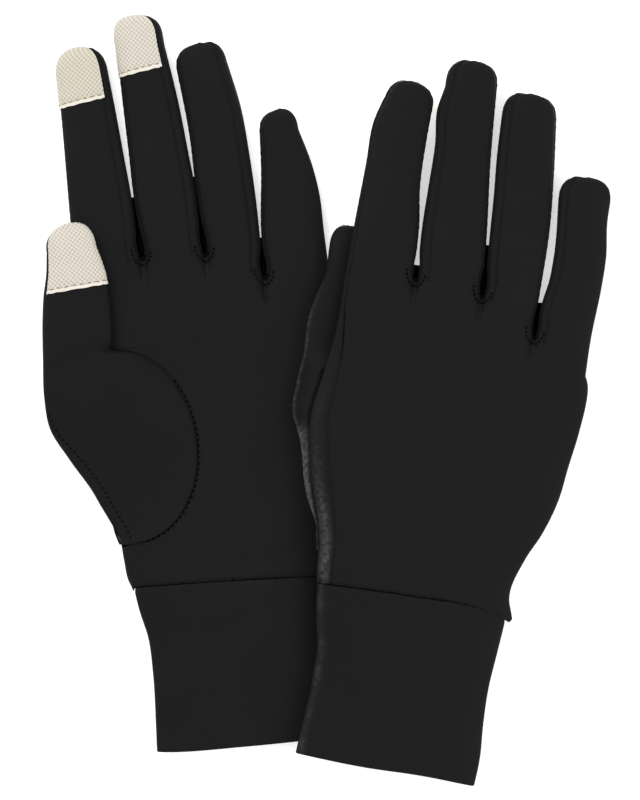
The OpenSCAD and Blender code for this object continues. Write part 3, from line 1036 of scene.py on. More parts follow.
@dataclass
class Glove:
    """One glove, with methods that build and dress each of its pieces.

    Args:
        pattern: Its pattern.
        finishes: The finishes.
    """

    pattern: Pattern
    finishes: Finishes
    lie: Lie = field(init=False)
    name: str = field(init=False)
    hand: str = field(init=False)

    side_columns: int = 6
    strip_columns: int = 18
    tip_rows: int = 18
    band_width: float = 1.05

    def __post_init__(self) -> None:
        """Finds where the glove lies."""
        self.lie = Lie(self.pattern)
        self.name = self.pattern.side.value
        self.hand = f"{self.name}_hand"

    # -- fingers

    def finger_section(self, k: int, l: Array, angle: Array, scale: Array, shift: Array) -> tuple[Array, Array]:
        """Places round a finger.

        Args:
            k: The finger's number, from 0 for the index finger.
            l: Lengths along the glove.
            angle: Angles round the finger, 0 on the little finger side and 90 on the palm, in radians.
            scale: Share of the full section that is left, for the round tip.
            shift: Share of the way to the tip's centre.

        Returns:
            Places across and heights.
        """
        cut = self.pattern.fingers[k]
        low, high = curve(cut.left, l), curve(cut.right, l)
        middle, half = (low + high) / 2, (high - low) / 2
        middle = mix(middle, cut.tip[1], shift)
        q = 2 / self.pattern.roundness
        a = middle + half * scale * power(np.cos(angle), q)
        w = self.pattern.half_height * scale ** 0.8 * power(np.sin(angle), q)
        return a, w * (1 + 0.07 * ripple(a, l, self.pattern.seed))

    def root_line(self, k: int, angle: Array) -> Array:
        """Lengths along the line between a finger's two crotches.

        Args:
            k: The finger's number.
            angle: Angles round the finger, in radians.

        Returns:
            The lengths, in millimetres.
        """
        low, high = self.pattern.fingers[k].crotches
        q = 2 / self.pattern.roundness
        return mix(low, high, (1 + power(np.cos(angle), q)) / 2)

    def finger_grid(self, k: int, angles: Array) -> tuple[Array, Array]:
        """Outer places of a strip of a finger, from its root to its tip, and the places inside it.

        Args:
            k: The finger's number.
            angles: Angles round the finger, in radians.

        Returns:
            The strip's outer places, and one place inside the finger for each of them.
        """
        cut = self.pattern.fingers[k]
        wide = float(curve(cut.right, np.array(cut.tip[0])) - curve(cut.left, np.array(cut.tip[0])))
        reach = wide / 2
        straight = cut.tip[0] - reach
        root = self.root_line(k, angles)
        count = int((straight - root.mean()) / 1.1)
        rows = []
        for t in np.linspace(0, 1, count + 1):
            l = mix(root, straight, t)
            a, w = self.finger_section(k, l, angles, np.ones_like(l), np.zeros_like(l))
            rows.append(np.stack([a, l, w], axis=-1))
        for phi in np.linspace(0, math.pi / 2, self.tip_rows + 1)[1:]:
            forward = math.sin(phi) ** (2 / cut.blunt)
            scale = max(math.cos(phi), 0.0) ** (2 / cut.blunt) if phi < math.pi / 2 - 1e-6 else 0.0
            l = np.full_like(angles, straight + reach * forward)
            a, w = self.finger_section(k, l, angles, np.full_like(l, scale), np.full_like(l, forward ** 3))
            rows.append(np.stack([a, l, w], axis=-1))
        grid = np.stack(rows)
        inside = grid.copy()
        middle = (curve(cut.left, grid[..., 1]) + curve(cut.right, grid[..., 1])) / 2
        inside[..., 0] = middle
        inside[..., 2] = 0.0
        return grid, inside

    def seam_angles(self, k: int) -> tuple[float, float, float, float]:
        """Angles of a finger's four seams: palm right, palm left, back left and back right, in degrees.

        The side that shows has its seams where the pattern says; the other side's sit evenly.

        Args:
            k: The finger's number.

        Returns:
            The four angles.
        """
        left, right = self.pattern.fingers[k].seams
        hidden_left = HIDDEN_SEAM_ANGLE if k > 0 else 0.0
        hidden_right = HIDDEN_SEAM_ANGLE if k < 3 else 0.0
        if self.pattern.side is Side.LEFT:
            show = (right if k < 3 else 0.0, 180 - (left if k > 0 else 0.0))
            back_left = 180 + (hidden_left if k > 0 else 16.0)
            return show[0], show[1] if k > 0 else back_left, back_left, 360 - hidden_right
        palm = (hidden_right, 180 - hidden_left)
        back_left = 180 + left
        back_right = 360 - (right if k < 3 else 0.0)
        return palm[0], palm[1] if k > 0 else back_left, back_left, back_right

    def fold_ends(self, k: int) -> tuple[Vector, Vector]:
        """Where a finger's fabric starts and stops turning over its fold.

        Args:
            k: The finger's number.

        Returns:
            The two points, in metres.
        """
        a = self.pattern.middle_fold_at[0] if k == 1 else float(np.mean([
            curve(self.pattern.fingers[k].left, np.array(self.pattern.folds[k])),
            curve(self.pattern.fingers[k].right, np.array(self.pattern.folds[k]))]))
        l = self.pattern.folds[k]
        return self.lie.point(a, l - 6.0, 0.0), self.lie.point(a, l + 6.0, 0.0)

    def finger(self, k: int) -> None:
        """Makes one finger: its palm strip, back strip and fourchettes.

        Args:
            k: The finger's number.
        """
        cut = self.pattern.fingers[k]
        palm_right, palm_left, back_left, back_right = self.seam_angles(k)
        start, end = self.fold_ends(k)
        strips = [("palm", palm_right, palm_left, self.strip_columns),
                  ("back", back_left, back_right, self.strip_columns)]
        for part, low, high, n in strips:
            angles = np.radians(fine(low, high, n))
            grid, inside = self.finger_grid(k, angles)
            cloth = Cloth(grid, self.pattern.wall, inside, seams=(SEAM, SEAM, None, None))
            piece = cloth.build(f"{self.name}_{cut.name}_{part}_strip", self.lie)
            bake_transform(piece)
            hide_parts(f"{self.name}_{cut.name}_{part}")
            dress(piece, self.finishes.jersey)
        sides = []
        if k < 3:
            sides.append(("inner", back_right - 360, palm_right))
        if k > 0:
            sides.append(("outer", palm_left, back_left))
        for i, (part, low, high) in enumerate(sides):
            angles = np.radians(fine(low, high, 2 * self.side_columns))
            grid, inside = self.finger_grid(k, angles)
            cloth = Cloth(grid, self.pattern.wall, inside, seams=(SEAM, SEAM, None, None))
            piece = cloth.build(f"{self.name}_{cut.name}_{part}_fourchette", self.lie)
            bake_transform(piece)
            nodes = [f"{self.name}_{cut.name}_sides"] if i == 0 else []
            if part == "inner":
                after = self.pattern.fingers[k + 1].name
                nodes.append(f"{self.name}_{cut.name}_{after}_fourchette")
            if nodes:
                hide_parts(*nodes)
            # Darker copy of the jersey: painted shade on the fourchette.
            dress(piece, self.finishes.shaded_fourchette_jersey)
        LOG.info("%s %s finger: %d pieces", self.name, cut.name, 2 + len(sides))

    # -- hand

    def knuckle_columns(self, face: int) -> tuple[Array, Array, Array]:
        """Places along the line of crotches on one face, as the finger strips have them.

        Args:
            face: 1 for the palm and -1 for the back.

        Returns:
            Places across, along and heights, from the thumb side.
        """
        a, l, w = [], [], []
        for k in range(4):
            palm_right, palm_left, back_left, back_right = self.seam_angles(k)
            if face > 0:
                parts = [(palm_left, palm_right, self.strip_columns)]
                if k > 0 and palm_left < 180:
                    parts.insert(0, (180.0, palm_left, self.side_columns))
                if k < 3 and palm_right > 0:
                    parts.append((palm_right, 0.0, self.side_columns))
            else:
                parts = [(back_left, back_right, self.strip_columns)]
                if k > 0:
                    parts.insert(0, (180.0, back_left, self.side_columns))
                if k < 3 and back_right < 360:
                    parts.append((back_right, 360.0, self.side_columns))
            angles: list[float] = []
            for low, high, n in parts:
                angles += list(fine(low, high, n))[(1 if angles else 0):]
            turned = np.radians(np.array(angles))
            if face > 0 and k == 0:
                turned = np.minimum(turned, math.pi)
            root = self.root_line(k, turned)
            across, height = self.finger_section(k, root, turned, np.ones_like(root), np.zeros_like(root))
            a.append(across)
            l.append(root)
            w.append(height)
        return np.concatenate(a), np.concatenate(l), np.concatenate(w)

    def hand_height(self, a: Array, l: Array, face: int) -> Array:
        """Height of the hand's outer face, with the valleys that run into the crotches.

        Args:
            a: Places across, in millimetres.
            l: Places along, in millimetres.
            face: 1 for the palm and -1 for the back.

        Returns:
            The heights, in millimetres.
        """
        p = self.pattern
        low, high = curve(p.thumb_side, l), curve(p.little_side, l)
        u = np.clip((2 * a - low - high) / (high - low), -1, 1)
        share = (l - p.hand_range[0]) / (p.hand_range[1] - p.hand_range[0])
        plain = np.minimum(1.0, p.press * lens(u, mix(p.roundness, p.knuckle_roundness, smooth(share))))
        s = (u + 1) / 2
        marks = self.crotch_marks()
        k = np.clip(np.searchsorted(marks[:, 0], s, side="right") - 1, 0, 3)
        centre = (marks[k, 0] + marks[k + 1, 0]) / 2
        half = (marks[k + 1, 0] - marks[k, 0]) / 2
        lobe = lens(np.clip((s - centre) / half, -1, 1), p.roundness)
        line = np.interp(s, marks[:, 0], marks[:, 1])
        valley = smooth((l - line + p.valley) / p.valley) ** 1.6
        w = p.half_height * mix(plain, lobe, valley)
        return face * w * (1 + 0.07 * ripple(a, l, p.seed))

    def crotch_marks(self) -> Array:
        """Shares across the hand and lengths of its two edges and three crotches.

        Returns:
            One pair, share and length, for each of the five marks.
        """
        cuts = self.pattern.fingers
        lengths = [cuts[0].crotches[0]] + [c.crotches[1] for c in cuts]
        first = float(curve(cuts[0].left, np.array(lengths[0])))
        places = [first] + [float(curve(c.right, np.array(c.crotches[1]))) for c in cuts]
        span = places[-1] - places[0]
        return np.array([((a - places[0]) / span, l) for a, l in zip(places, lengths)])

    def wrist_line(self, a: Array) -> Array:
        """Length of the wrist seam at places across."""
        return curve(self.pattern.wrist, a)

    def hand_grid(self, face: int) -> Array:
        """Outer places of the palm or back panel, from the wrist seam to the crotches.

        Args:
            face: 1 for the palm and -1 for the back.

        Returns:
            The places, row by row.
        """
        p = self.pattern
        top_a, top_l, top_w = self.knuckle_columns(face)
        share = (top_a - top_a[0]) / (top_a[-1] - top_a[0])
        thumb = p.thumb
        low = thumb.loop_middle - thumb.loop_half
        high = thumb.base + 2.0

        def left_at(l: Array) -> Array:
            """The panel's edge on the thumb side."""
            edge = curve(p.thumb_side, l)
            return edge if face > 0 else edge + curve(p.wrap, l)

        def across(l: Array, start: Array) -> Array:
            """Places across a row from a given start."""
            return mix(start, curve(p.little_side, l), share)

        rows = []
        first = np.full_like(share, 60.0)
        for _ in range(3):
            first = self.wrist_line(across(first, left_at(first)))
        for t in np.linspace(0, 1, 16)[:-1]:
            l = mix(first, np.full_like(share, low - 0.15), t)
            rows.append((across(l, left_at(l)), l))
        if face > 0:
            for angle in np.radians(np.linspace(2, 178, 66)):
                l = np.full_like(share, thumb.loop_middle - thumb.loop_half * math.cos(angle))
                start = np.full_like(share, thumb.crotch[1] + thumb.loop_depth * math.sin(angle))
                rows.append((across(l, start), l))
        else:
            for l0 in np.linspace(low, thumb.base - 1.2, 58):
                l = np.full_like(share, l0)
                rows.append((across(l, left_at(l)), l))
        above = np.linspace(0, 1, 27)
        knuckle = across(top_l, left_at(top_l))
        for t in above:
            l = mix(np.full_like(share, thumb.base - 0.9), top_l, t)
            rows.append((across(l, left_at(l)) + (top_a - knuckle) * t ** 2, l))
        grid = np.stack([np.stack([a, l, self.hand_height(a, l, face)], axis=-1) for a, l in rows])
        ease = (above ** 6)[:, None]
        grid[-len(above):, :, 2] = mix(grid[-len(above):, :, 2], top_w[None, :], ease)
        grid[-1, :, 0] = top_a
        return grid

    def panel(self, face: int) -> None:
        """Makes the palm panel or the back panel.

        Args:
            face: 1 for the palm and -1 for the back.
        """
        grid = self.hand_grid(face)
        inside = grid.copy()
        inside[..., 2] = 0.0
        seams = (SEAM if face < 0 else SOFT_SEAM, None, DEEP_SEAM, None)
        cloth = Cloth(grid, self.pattern.wall, inside, stay=True, seams=seams)
        part = "palm_panel" if face > 0 else "back_panel"
        piece = cloth.build(f"{self.name}_{part}_cloth", self.lie)
        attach(piece, self.hand)
        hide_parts(f"{self.name}_{part}")
        dress(piece, self.finishes.jersey)
        LOG.info("%s %s", self.name, part)

    def palm_wrap(self) -> None:
        """Makes the strip of the palm panel that wraps over the thumb side on to the back."""
        p = self.pattern
        shares = fine(0.0, 1.0, 12)
        cut = p.fingers[0]
        back_left = self.seam_angles(0)[2]
        turned = np.radians(mix(180.0, back_left, shares))
        root = self.root_line(0, turned)
        top_a, top_w = self.finger_section(0, root, turned, np.ones_like(root), np.zeros_like(root))
        rows = []
        start = self.wrist_line(np.full_like(shares, -31.0))
        for t in np.linspace(0, 1, 90):
            l = mix(start, root, t)
            edge = curve(p.thumb_side, l)
            a = edge + curve(p.wrap, l) * (1 - np.cos(shares * math.pi / 2))
            fit = t ** 8
            a = mix(a, top_a, fit)
            w = mix(self.hand_height(a, l, -1), top_w, fit)
            rows.append(np.stack([a, l, w], axis=-1))
        grid = np.stack(rows)
        inside = grid.copy()
        inside[..., 0] += 8.0
        inside[..., 2] = 0.0
        cloth = Cloth(grid, p.wall, inside, seams=(None, SEAM, DEEP_SEAM, None))
        piece = cloth.build(f"{self.name}_palm_panel_wrap", self.lie)
        # Painted sheen: pale grey on the right glove's wrap strip where grazing light catches it.
        if p.side is Side.RIGHT:
            paint_sheen(piece, self.lie, self.wrap_painted_sheen)
        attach(piece, self.hand)
        dress(piece, self.finishes.jersey)
        LOG.info("%s palm panel wrap over the %s side", self.name, cut.name)

    def wrap_painted_sheen(self, a: Array, l: Array) -> Array:
        """Painted sheen of the strip that wraps over the thumb side, pale grey standing in for grazing light, palest
        near the wrist.

        Args:
            a: Places across, in millimetres.
            l: Places along, in millimetres.

        Returns:
            Strength of the painted sheen, 0 for none.
        """
        from_edge = a - curve(self.pattern.thumb_side, l)
        band = np.exp(-((from_edge - 2.4) / 1.7) ** 2) * (0.8 + 0.2 * np.sin(l * 1.7) * np.sin(from_edge * 2.3))
        fade = 0.12 + 0.7 * smooth((120 - l) / 45) * smooth((l - 62) / 8)
        return band * fade * smooth((150 - l) / 30)

    def thumb_painted_sheen(self, a: Array, l: Array) -> Array:
        """Painted sheen of the thumb, standing in for grazing light: a pale sliver beside the hand and a fine line
        along its own edge.

        Args:
            a: Places across, in millimetres.
            l: Places along, in millimetres.

        Returns:
            Strength of the painted sheen, 0 for none.
        """
        p = self.pattern
        sliver = (np.exp(-((a - curve(p.thumb_side, l) + 2.4) / 1.5) ** 2)
                  * smooth((l - 84) / 12) * smooth((124 - l) / 8))
        line = np.exp(-((a - curve(p.thumb.outer, l) - 0.4) / 0.7) ** 2) * smooth((178 - l) / 20)
        return 1.2 * sliver + 0.4 * line

    def cuff_painted_sheen(self, a: Array, l: Array) -> Array:
        """Painted sheen along the cuff's thumb side, standing in for grazing light.

        Args:
            a: Places across, in millimetres.
            l: Places along, in millimetres.

        Returns:
            Strength of the painted sheen, 0 for none.
        """
        from_edge = a - curve(self.pattern.cuff_left, l)
        streak = 0.6 + 0.4 * np.sin(l / 2.9) * np.sin(l / 7.7 + 1)
        return 0.27 * streak * np.exp(-((from_edge - 1.4) / 1.2) ** 2)

    # -- thumb

    def thumb_rows(self) -> list[tuple[float, float, float, float, float, float, float]]:
        """Stations of the thumb and gusset: l, inner and outer place, their heights, swell and tip scale.

        Returns:
            The stations, from the gusset's lower end to the tip.
        """
        p = self.pattern
        cut = p.thumb
        rows = []
        for angle in np.radians(np.linspace(2, 172, 64)):
            l = cut.loop_middle - cut.loop_half * math.cos(angle)
            inner = cut.crotch[1] + cut.loop_depth * math.sin(angle)
            rows.append((l, inner))
        tip_reach = float(cut.inner[-1][1] - cut.outer[-1][1]) / 2
        straight = cut.tip[0] - tip_reach
        for l in np.linspace(cut.crotch[0] + 0.4, straight, 36):
            rows.append((l, float(curve(cut.inner, np.array(l)))))
        out = []
        for l, inner in rows:
            outer = float(curve(cut.outer, np.array(l)))
            share = np.clip((l - 76.8) / (cut.base - 76.8), 0, 1)
            palm = float(self.hand_height(np.array(inner), np.array(min(l, 145.0)), 1))
            high = float(mix(palm, cut.height, smooth((l - 141.0) / 10.0)))
            low = float(cut.height * smooth(share))
            swell = float(mix(1.5, cut.swell, smooth(share)))
            out.append((l, inner, outer, high, low, swell, 1.0))
        inner, outer = out[-1][1], out[-1][2]
        for phi in np.linspace(0, math.pi / 2, self.tip_rows + 1)[1:]:
            forward = math.sin(phi) ** (2 / cut.blunt)
            scale = max(math.cos(phi), 0.0) ** (2 / cut.blunt) if phi < math.pi / 2 - 1e-6 else 0.0
            middle = mix((inner + outer) / 2, cut.tip[1], forward ** 3)
            half = (inner - outer) / 2 * scale
            out.append((straight + tip_reach * forward, middle + half, middle - half,
                        cut.height, cut.height, cut.swell * scale ** 0.8, scale))
        return out

    def thumb_grid(self, upper: bool, angles: Array) -> Array:
        """Outer places of the thumb's palm face or back face, with its share of the gusset.

        Args:
            upper: Whether it is the palm face.
            angles: Angles round the thumb, in radians.

        Returns:
            The places, row by row.
        """
        p = self.pattern
        q = 2 / p.roundness
        rows = []
        for l, inner, outer, high, low, swell, _ in self.thumb_rows():
            middle, half = (inner + outer) / 2, (inner - outer) / 2
            share = (1 - np.cos(angles)) / 2
            along = np.full_like(angles, l)
            a = middle + half * power(np.cos(angles), q)
            w = mix(high, low, share) + swell * power(np.sin(angles), q)
            if not upper and l < p.thumb.base + 9.0:
                edge = float(curve(p.thumb_side, np.array(l))) - 0.25
                t = (angles - math.pi) / math.pi
                sheet_a = mix(outer, edge, t)
                sag = 1.2 * np.sin(t * math.pi) * smooth(np.array((outer - edge) / -8.0))
                sheet_w = mix(low, 0.25, t) - sag
                free = float(smooth(np.array((l - p.thumb.base + 4.0) / 12.0)))
                a, w = mix(sheet_a, a, free), mix(sheet_w, w, free)
            w = w + 0.22 * ripple(a, along, p.seed + 1) * np.abs(np.sin(angles)) * (swell / 3.4)
            rows.append(np.stack([a, along, w], axis=-1))
        return np.stack(rows)

    def thumb_faces(self) -> None:
        """Makes the thumb: its palm face with the gusset and its back face."""
        p = self.pattern
        start = self.lie.point(-39.0, p.thumb.base - 9.0, p.thumb.height)
        end = self.lie.point(-38.0, p.thumb.base + 9.0, p.thumb.height)
        parts = (("palm_face", True, 0.0, 180.0, f"{self.name}_thumb_gusset"),
                 ("back_face", False, 180.0, 360.0, f"{self.name}_thumb"))
        for part, upper, low, high, node in parts:
            angles = np.radians(fine(low, high, 34))
            grid = self.thumb_grid(upper, angles)
            inside = grid.copy()
            inside[..., 0] = grid[..., 0].mean(axis=1, keepdims=True)
            inside[..., 2] = (grid[:, :1, 2] + grid[:, -1:, 2]) / 2 - (2.0 if upper else -2.0)
            seams = (SOFT_SEAM, None, None, None) if upper else (None, SEAM, None, None)
            piece = Cloth(grid, p.wall, inside, seams=seams).build(f"{self.name}_thumb_{part}", self.lie)
            # Painted sheen on the right thumb's back face.
            if p.side is Side.RIGHT and not upper:
                paint_sheen(piece, self.lie, self.thumb_painted_sheen)
            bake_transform(piece)
            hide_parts(node)
            dress(piece, self.finishes.jersey)
        LOG.info("%s thumb with its gusset", self.name)

    def gusset_stitches(self) -> None:
        """Sews the dotted row beside the gusset's seam, on the palm."""
        cut = self.pattern.thumb
        angles = np.radians(np.linspace(4, 128, 220))
        l = cut.loop_middle - (cut.loop_half + 0.4) * np.cos(angles)
        a = cut.crotch[1] + (cut.loop_depth + 0.4) * np.sin(angles)
        w = self.hand_height(a, l, 1) + 0.1
        self.stitch_row("gusset_stitches", Stitching(length=1.0, pitch=2.0, thickness=0.6), a, l, w)

    def outer_gusset_stitches(self) -> None:
        """Sews the dotted row along the gusset's outer seam, just inside the glove's edge."""
        cut = self.pattern.thumb
        grid = self.thumb_grid(True, np.radians(fine(0.0, 180.0, 34)))
        rows = [r for r in grid if cut.loop_middle - cut.loop_half + 1.0 < r[0, 1] < 128.0]
        inset = [3.4 * float(smooth(np.array((130.0 - r[0, 1]) / 26.0))) + 0.7 for r in rows]
        a = np.array([r[-1, 0] + i for r, i in zip(rows, inset)])
        l = np.array([r[0, 1] for r in rows])
        w = np.array([np.interp(x, r[::-1, 0], r[::-1, 2]) for x, r in zip(a, rows)]) + 0.1
        self.stitch_row("gusset_outer_stitches", Stitching(length=1.0, pitch=2.0, thickness=0.5), a, l, w)

    def stitch_row(self, name: str, stitching: Stitching, a: Array, l: Array, w: Array) -> None:
        """Sews one row of black thread that rides on the hand.

        Args:
            name: The row's name.
            stitching: Its stitches.
            a: Places across.
            l: Places along.
            w: Heights.
        """
        path = self.lie.place(a, l, w)
        up = self.lie.place(a, l, w + np.where(w < 0, -1.0, 1.0)) - path
        piece = stitching.sew(f"{self.name}_{name}", path, up)
        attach(piece, self.hand)
        dress(piece, self.finishes.black_thread)
        LOG.info("%s %s", self.name, name)

    # -- crotches between the fingers

    def slit_shade_sheet(self, k: int) -> None:
        """Makes a near-black sheet low between two fingers, from their crotch towards their folds: painted shade in the
        slit between them.

        Args:
            k: Number of the finger on the thumb side.
        """
        one, other = self.pattern.fingers[k], self.pattern.fingers[k + 1]
        start = one.crotches[1]
        end = self.pattern.gap_starts[k]
        rows = []
        for t in np.linspace(0, 1, 24):
            l = np.full(9, mix(start - 1.6, end, t))
            low, high = curve(one.right, l) - 0.35, curve(other.left, l) + 0.35
            share = np.linspace(0, 1, 9)
            sag = np.sin(share * math.pi)
            face = -1 if self.pattern.side is Side.LEFT else 1
            rows.append(np.stack([mix(low, high, share), l, face * (0.5 + 1.3 * sag)], axis=-1))
        grid = np.stack(rows)
        inside = grid.copy()
        inside[..., 2] = 4.0 * (1 if self.pattern.side is Side.LEFT else -1)
        piece = Cloth(grid, 0.4, inside).build(f"{self.name}_{one.name}_{other.name}_web", self.lie)
        self.fold_ends(k)
        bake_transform(piece)
        # Near-black: painted shade in the slit between the two fingers.
        dress(piece, self.finishes.slit_painted_shade)

    def crotch_stitches(self, face: int) -> None:
        """Sews the rows that loop round under the three crotches, with short black rows inside them: thread gathered
        there, and painted shade for the small dark holes.

        Args:
            face: 1 for the palm and -1 for the back.
        """
        part = "palm" if face > 0 else "back"
        for k in range(3):
            one, other = self.pattern.fingers[k], self.pattern.fingers[k + 1]
            length = one.crotches[1]
            place = (float(curve(one.right, np.array(length))) + float(curve(other.left, np.array(length)))) / 2
            turn = np.radians(np.linspace(170, 352, 60))
            a, l = place + 3.3 * np.cos(turn), length + 2.6 + 5.4 * np.sin(turn)
            w = self.hand_height(a, np.minimum(l, length - 0.4), face) * 1.04
            row = Stitching(length=0.9, pitch=1.4, thickness=0.6)
            self.stitch_row(f"{one.name}_{other.name}_{part}_crotch_stitches", row, a, l, w)
            # Short black rows at each crotch: partly the thread gathered there, partly painted shade standing in for
            # the small dark holes.
            ends = []
            for spoke in np.radians([205, 240, 270, 300, 335]):
                a = place + np.array([0.5, 1.9]) * math.cos(spoke)
                l = length + 0.9 + np.array([0.5, 2.2]) * math.sin(spoke)
                w = np.array([0.35, 0.62]) * self.hand_height(a, np.minimum(l, length - 1.0), face)
                ends.append((a, l, w))
            gathers_and_hole_shade = Stitching(length=1.5, pitch=1.5, thickness=0.62)
            for i, (a, l, w) in enumerate(ends):
                self.stitch_row(f"{one.name}_{other.name}_{part}_gather_{i}", gathers_and_hole_shade, a, l, w)

    # -- cuff

    def cuff_section(self, l: Array, angle: Array, inset: float) -> tuple[Array, Array]:
        """Places round the cuff, inset from its outer face.

        Args:
            l: Places along, in millimetres.
            angle: Angles round the cuff, in radians.
            inset: Depth under the outer face, in millimetres.

        Returns:
            Places across, and their heights.
        """
        p = self.pattern
        low, high = curve(p.cuff_left, l), curve(p.cuff_right, l)
        middle, half = (low + high) / 2, (high - low) / 2 - inset
        q = 2 / p.roundness
        a = middle + half * power(np.cos(angle), q)
        crease = np.sin((l * 0.8 - a * 0.55) / 3.1 + np.sin(a / 9 + p.seed) * 1.4)
        reach = (smooth((l - 26.0) / 26.0) * smooth((58.0 - l) / 12.0)
                 * (0.5 + 0.5 * np.sin(a / 14 + 2 * p.seed)))
        w = (p.cuff_half - inset) * power(np.sin(angle), q)
        return a, w * (1 + 0.05 * ripple(a, l, p.seed + 4) + 0.035 * crease * reach)

    def cuff(self) -> None:
        """Makes the cuff: one strip folded double at its hem."""
        p = self.pattern
        angles = np.linspace(0, 2 * math.pi, 161)[:-1]
        ply = p.cuff_ply
        guess = self.cuff_section(np.full_like(angles, 30.0), angles, 0.0)[0]
        top = self.wrist_line(guess) - 0.25
        hem = curve(p.hem, guess)
        rows = []
        for t in fine(0.0, 1.0, 60):
            l = mix(top, hem + ply, t)
            a, w = self.cuff_section(l, angles, 0.0)
            rows.append(np.stack([a, l, w], axis=-1))
        for turn in np.linspace(0, math.pi, 9)[1:-1]:
            l = hem + ply * (1 - math.sin(turn))
            a, w = self.cuff_section(l, angles, ply * (1 - math.cos(turn)))
            rows.append(np.stack([a, l, w], axis=-1))
        for t in fine(0.0, 1.0, 40):
            l = mix(hem + ply, top, t)
            a, w = self.cuff_section(l, angles, 2 * ply)
            rows.append(np.stack([a, l, w], axis=-1))
        grid = np.stack(rows)
        tuck = np.exp(-((grid[..., 1] - grid[:1, :, 1]) / 1.1) ** 2) * 0.45
        out = grid[: 61]
        middle = np.stack([np.full_like(angles, 1.0), hem, np.zeros_like(angles)], axis=-1)[None]
        inward = middle - out
        inward[..., 1] = 0
        size = np.linalg.norm(inward, axis=-1, keepdims=True)
        grid[: 61] = out + inward / np.maximum(size, 1e-6) * tuck[: 61, :, None]
        self.closed_band(f"{self.name}_cuff_cloth", grid, f"{self.name}_cuff", self.finishes.jersey, Slot.JERSEY)

    def closed_band(self, name: str, grid: Array, node: str, material: bpy.types.Material, slot: Slot) -> None:
        """Makes a band whose rows run out and back, so that its first and last rows join.

        Args:
            name: The piece's name.
            grid: Places, with the rows running round the band's section.
            node: The CAD node that it replaces.
            material: Its finish.
            slot: The record's slot.
        """
        rows, cols = grid.shape[:2]
        points = self.lie.place(grid[..., 0].ravel(), grid[..., 1].ravel(), grid[..., 2].ravel())
        faces = []
        for i in range(rows):
            for j in range(cols):
                k, n = (j + 1) % cols, (i + 1) % rows
                faces.append((i * cols + j, i * cols + k, n * cols + k, n * cols + j))
        step = np.linalg.norm(np.diff(grid, axis=1, append=grid[:, :1]), axis=-1)
        across = np.cumsum(step, axis=1) - step
        cloth = np.stack([across, grid[..., 1]], axis=-1).reshape(-1, 2) * MM
        piece = new_piece(name, points, faces, cloth)
        # Painted sheen along the right cuff's thumb side.
        if self.pattern.side is Side.RIGHT and slot is Slot.JERSEY:
            paint_sheen(piece, self.lie, self.cuff_painted_sheen)
        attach(piece, self.hand)
        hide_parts(node)
        dress(piece, material)
        LOG.info("%s", name)

    def wrist_seam(self) -> None:
        """Makes the overlocked cord of thread that lies in the groove of the wrist seam."""
        p = self.pattern
        angles = np.linspace(0, 2 * math.pi, 241)[:-1]
        q = 2 / p.roundness
        guess = self.cuff_section(np.full_like(angles, 55.0), angles, 0.0)[0]
        line = self.wrist_line(guess)
        low, high = curve(p.thumb_side, line), curve(p.little_side, line)
        rows = []
        for turn in np.linspace(0, 2 * math.pi, 11)[:-1]:
            inset = 1.0 - 0.5 * math.cos(turn)
            half = (high - low) / 2 - inset
            a = (low + high) / 2 + half * power(np.cos(angles), q)
            w = (p.half_height - inset) * power(np.sin(angles), q)
            l = line + 0.55 * math.sin(turn)
            rows.append(np.stack([a, l, w], axis=-1))
        self.closed_band(f"{self.name}_wrist_overlock", np.stack(rows), f"{self.name}_wrist_seam",
                         self.finishes.black_thread, Slot.THREAD)

    # -- touch patches

    def finger_patch(self, k: int, length: float) -> None:
        """Makes a fingertip's touch patch with its edge band and stitches.

        Args:
            k: The finger's number.
            length: Length of the patch from the tip, in millimetres.
        """
        cut = self.pattern.fingers[k]
        body = f"{self.name}_{cut.name}_finger"
        palm_right = self.seam_angles(k)[0]
        last = 186.0 if self.pattern.side is Side.LEFT else 158.0
        angles = np.radians(fine(max(palm_right, 4.0), last, 40))
        grid, inside = self.finger_grid(k, angles)
        if self.pattern.side is Side.RIGHT:
            grid, inside = grid[:-3], inside[:-3]
        self.patch(cut.name, grid, inside, cut.tip[0] - length, body, 5.0)

    def thumb_patch(self, length: float) -> None:
        """Makes the thumb's touch patch with its edge band and stitches.

        Args:
            length: Length of the patch from the tip, in millimetres.
        """
        cut = self.pattern.thumb
        first, last = (10.0, 148.0) if self.pattern.side is Side.LEFT else (24.0, 150.0)
        angles = np.radians(fine(first, last, 40))
        grid = self.thumb_grid(True, angles)
        if self.pattern.side is Side.RIGHT:
            grid = grid[:-3]
        inside = grid.copy()
        inside[..., 0] = grid[..., 0].mean(axis=1, keepdims=True)
        inside[..., 2] = cut.height
        self.patch("thumb", grid, inside, cut.tip[0] - length, f"{self.name}_thumb_body", 1.5)

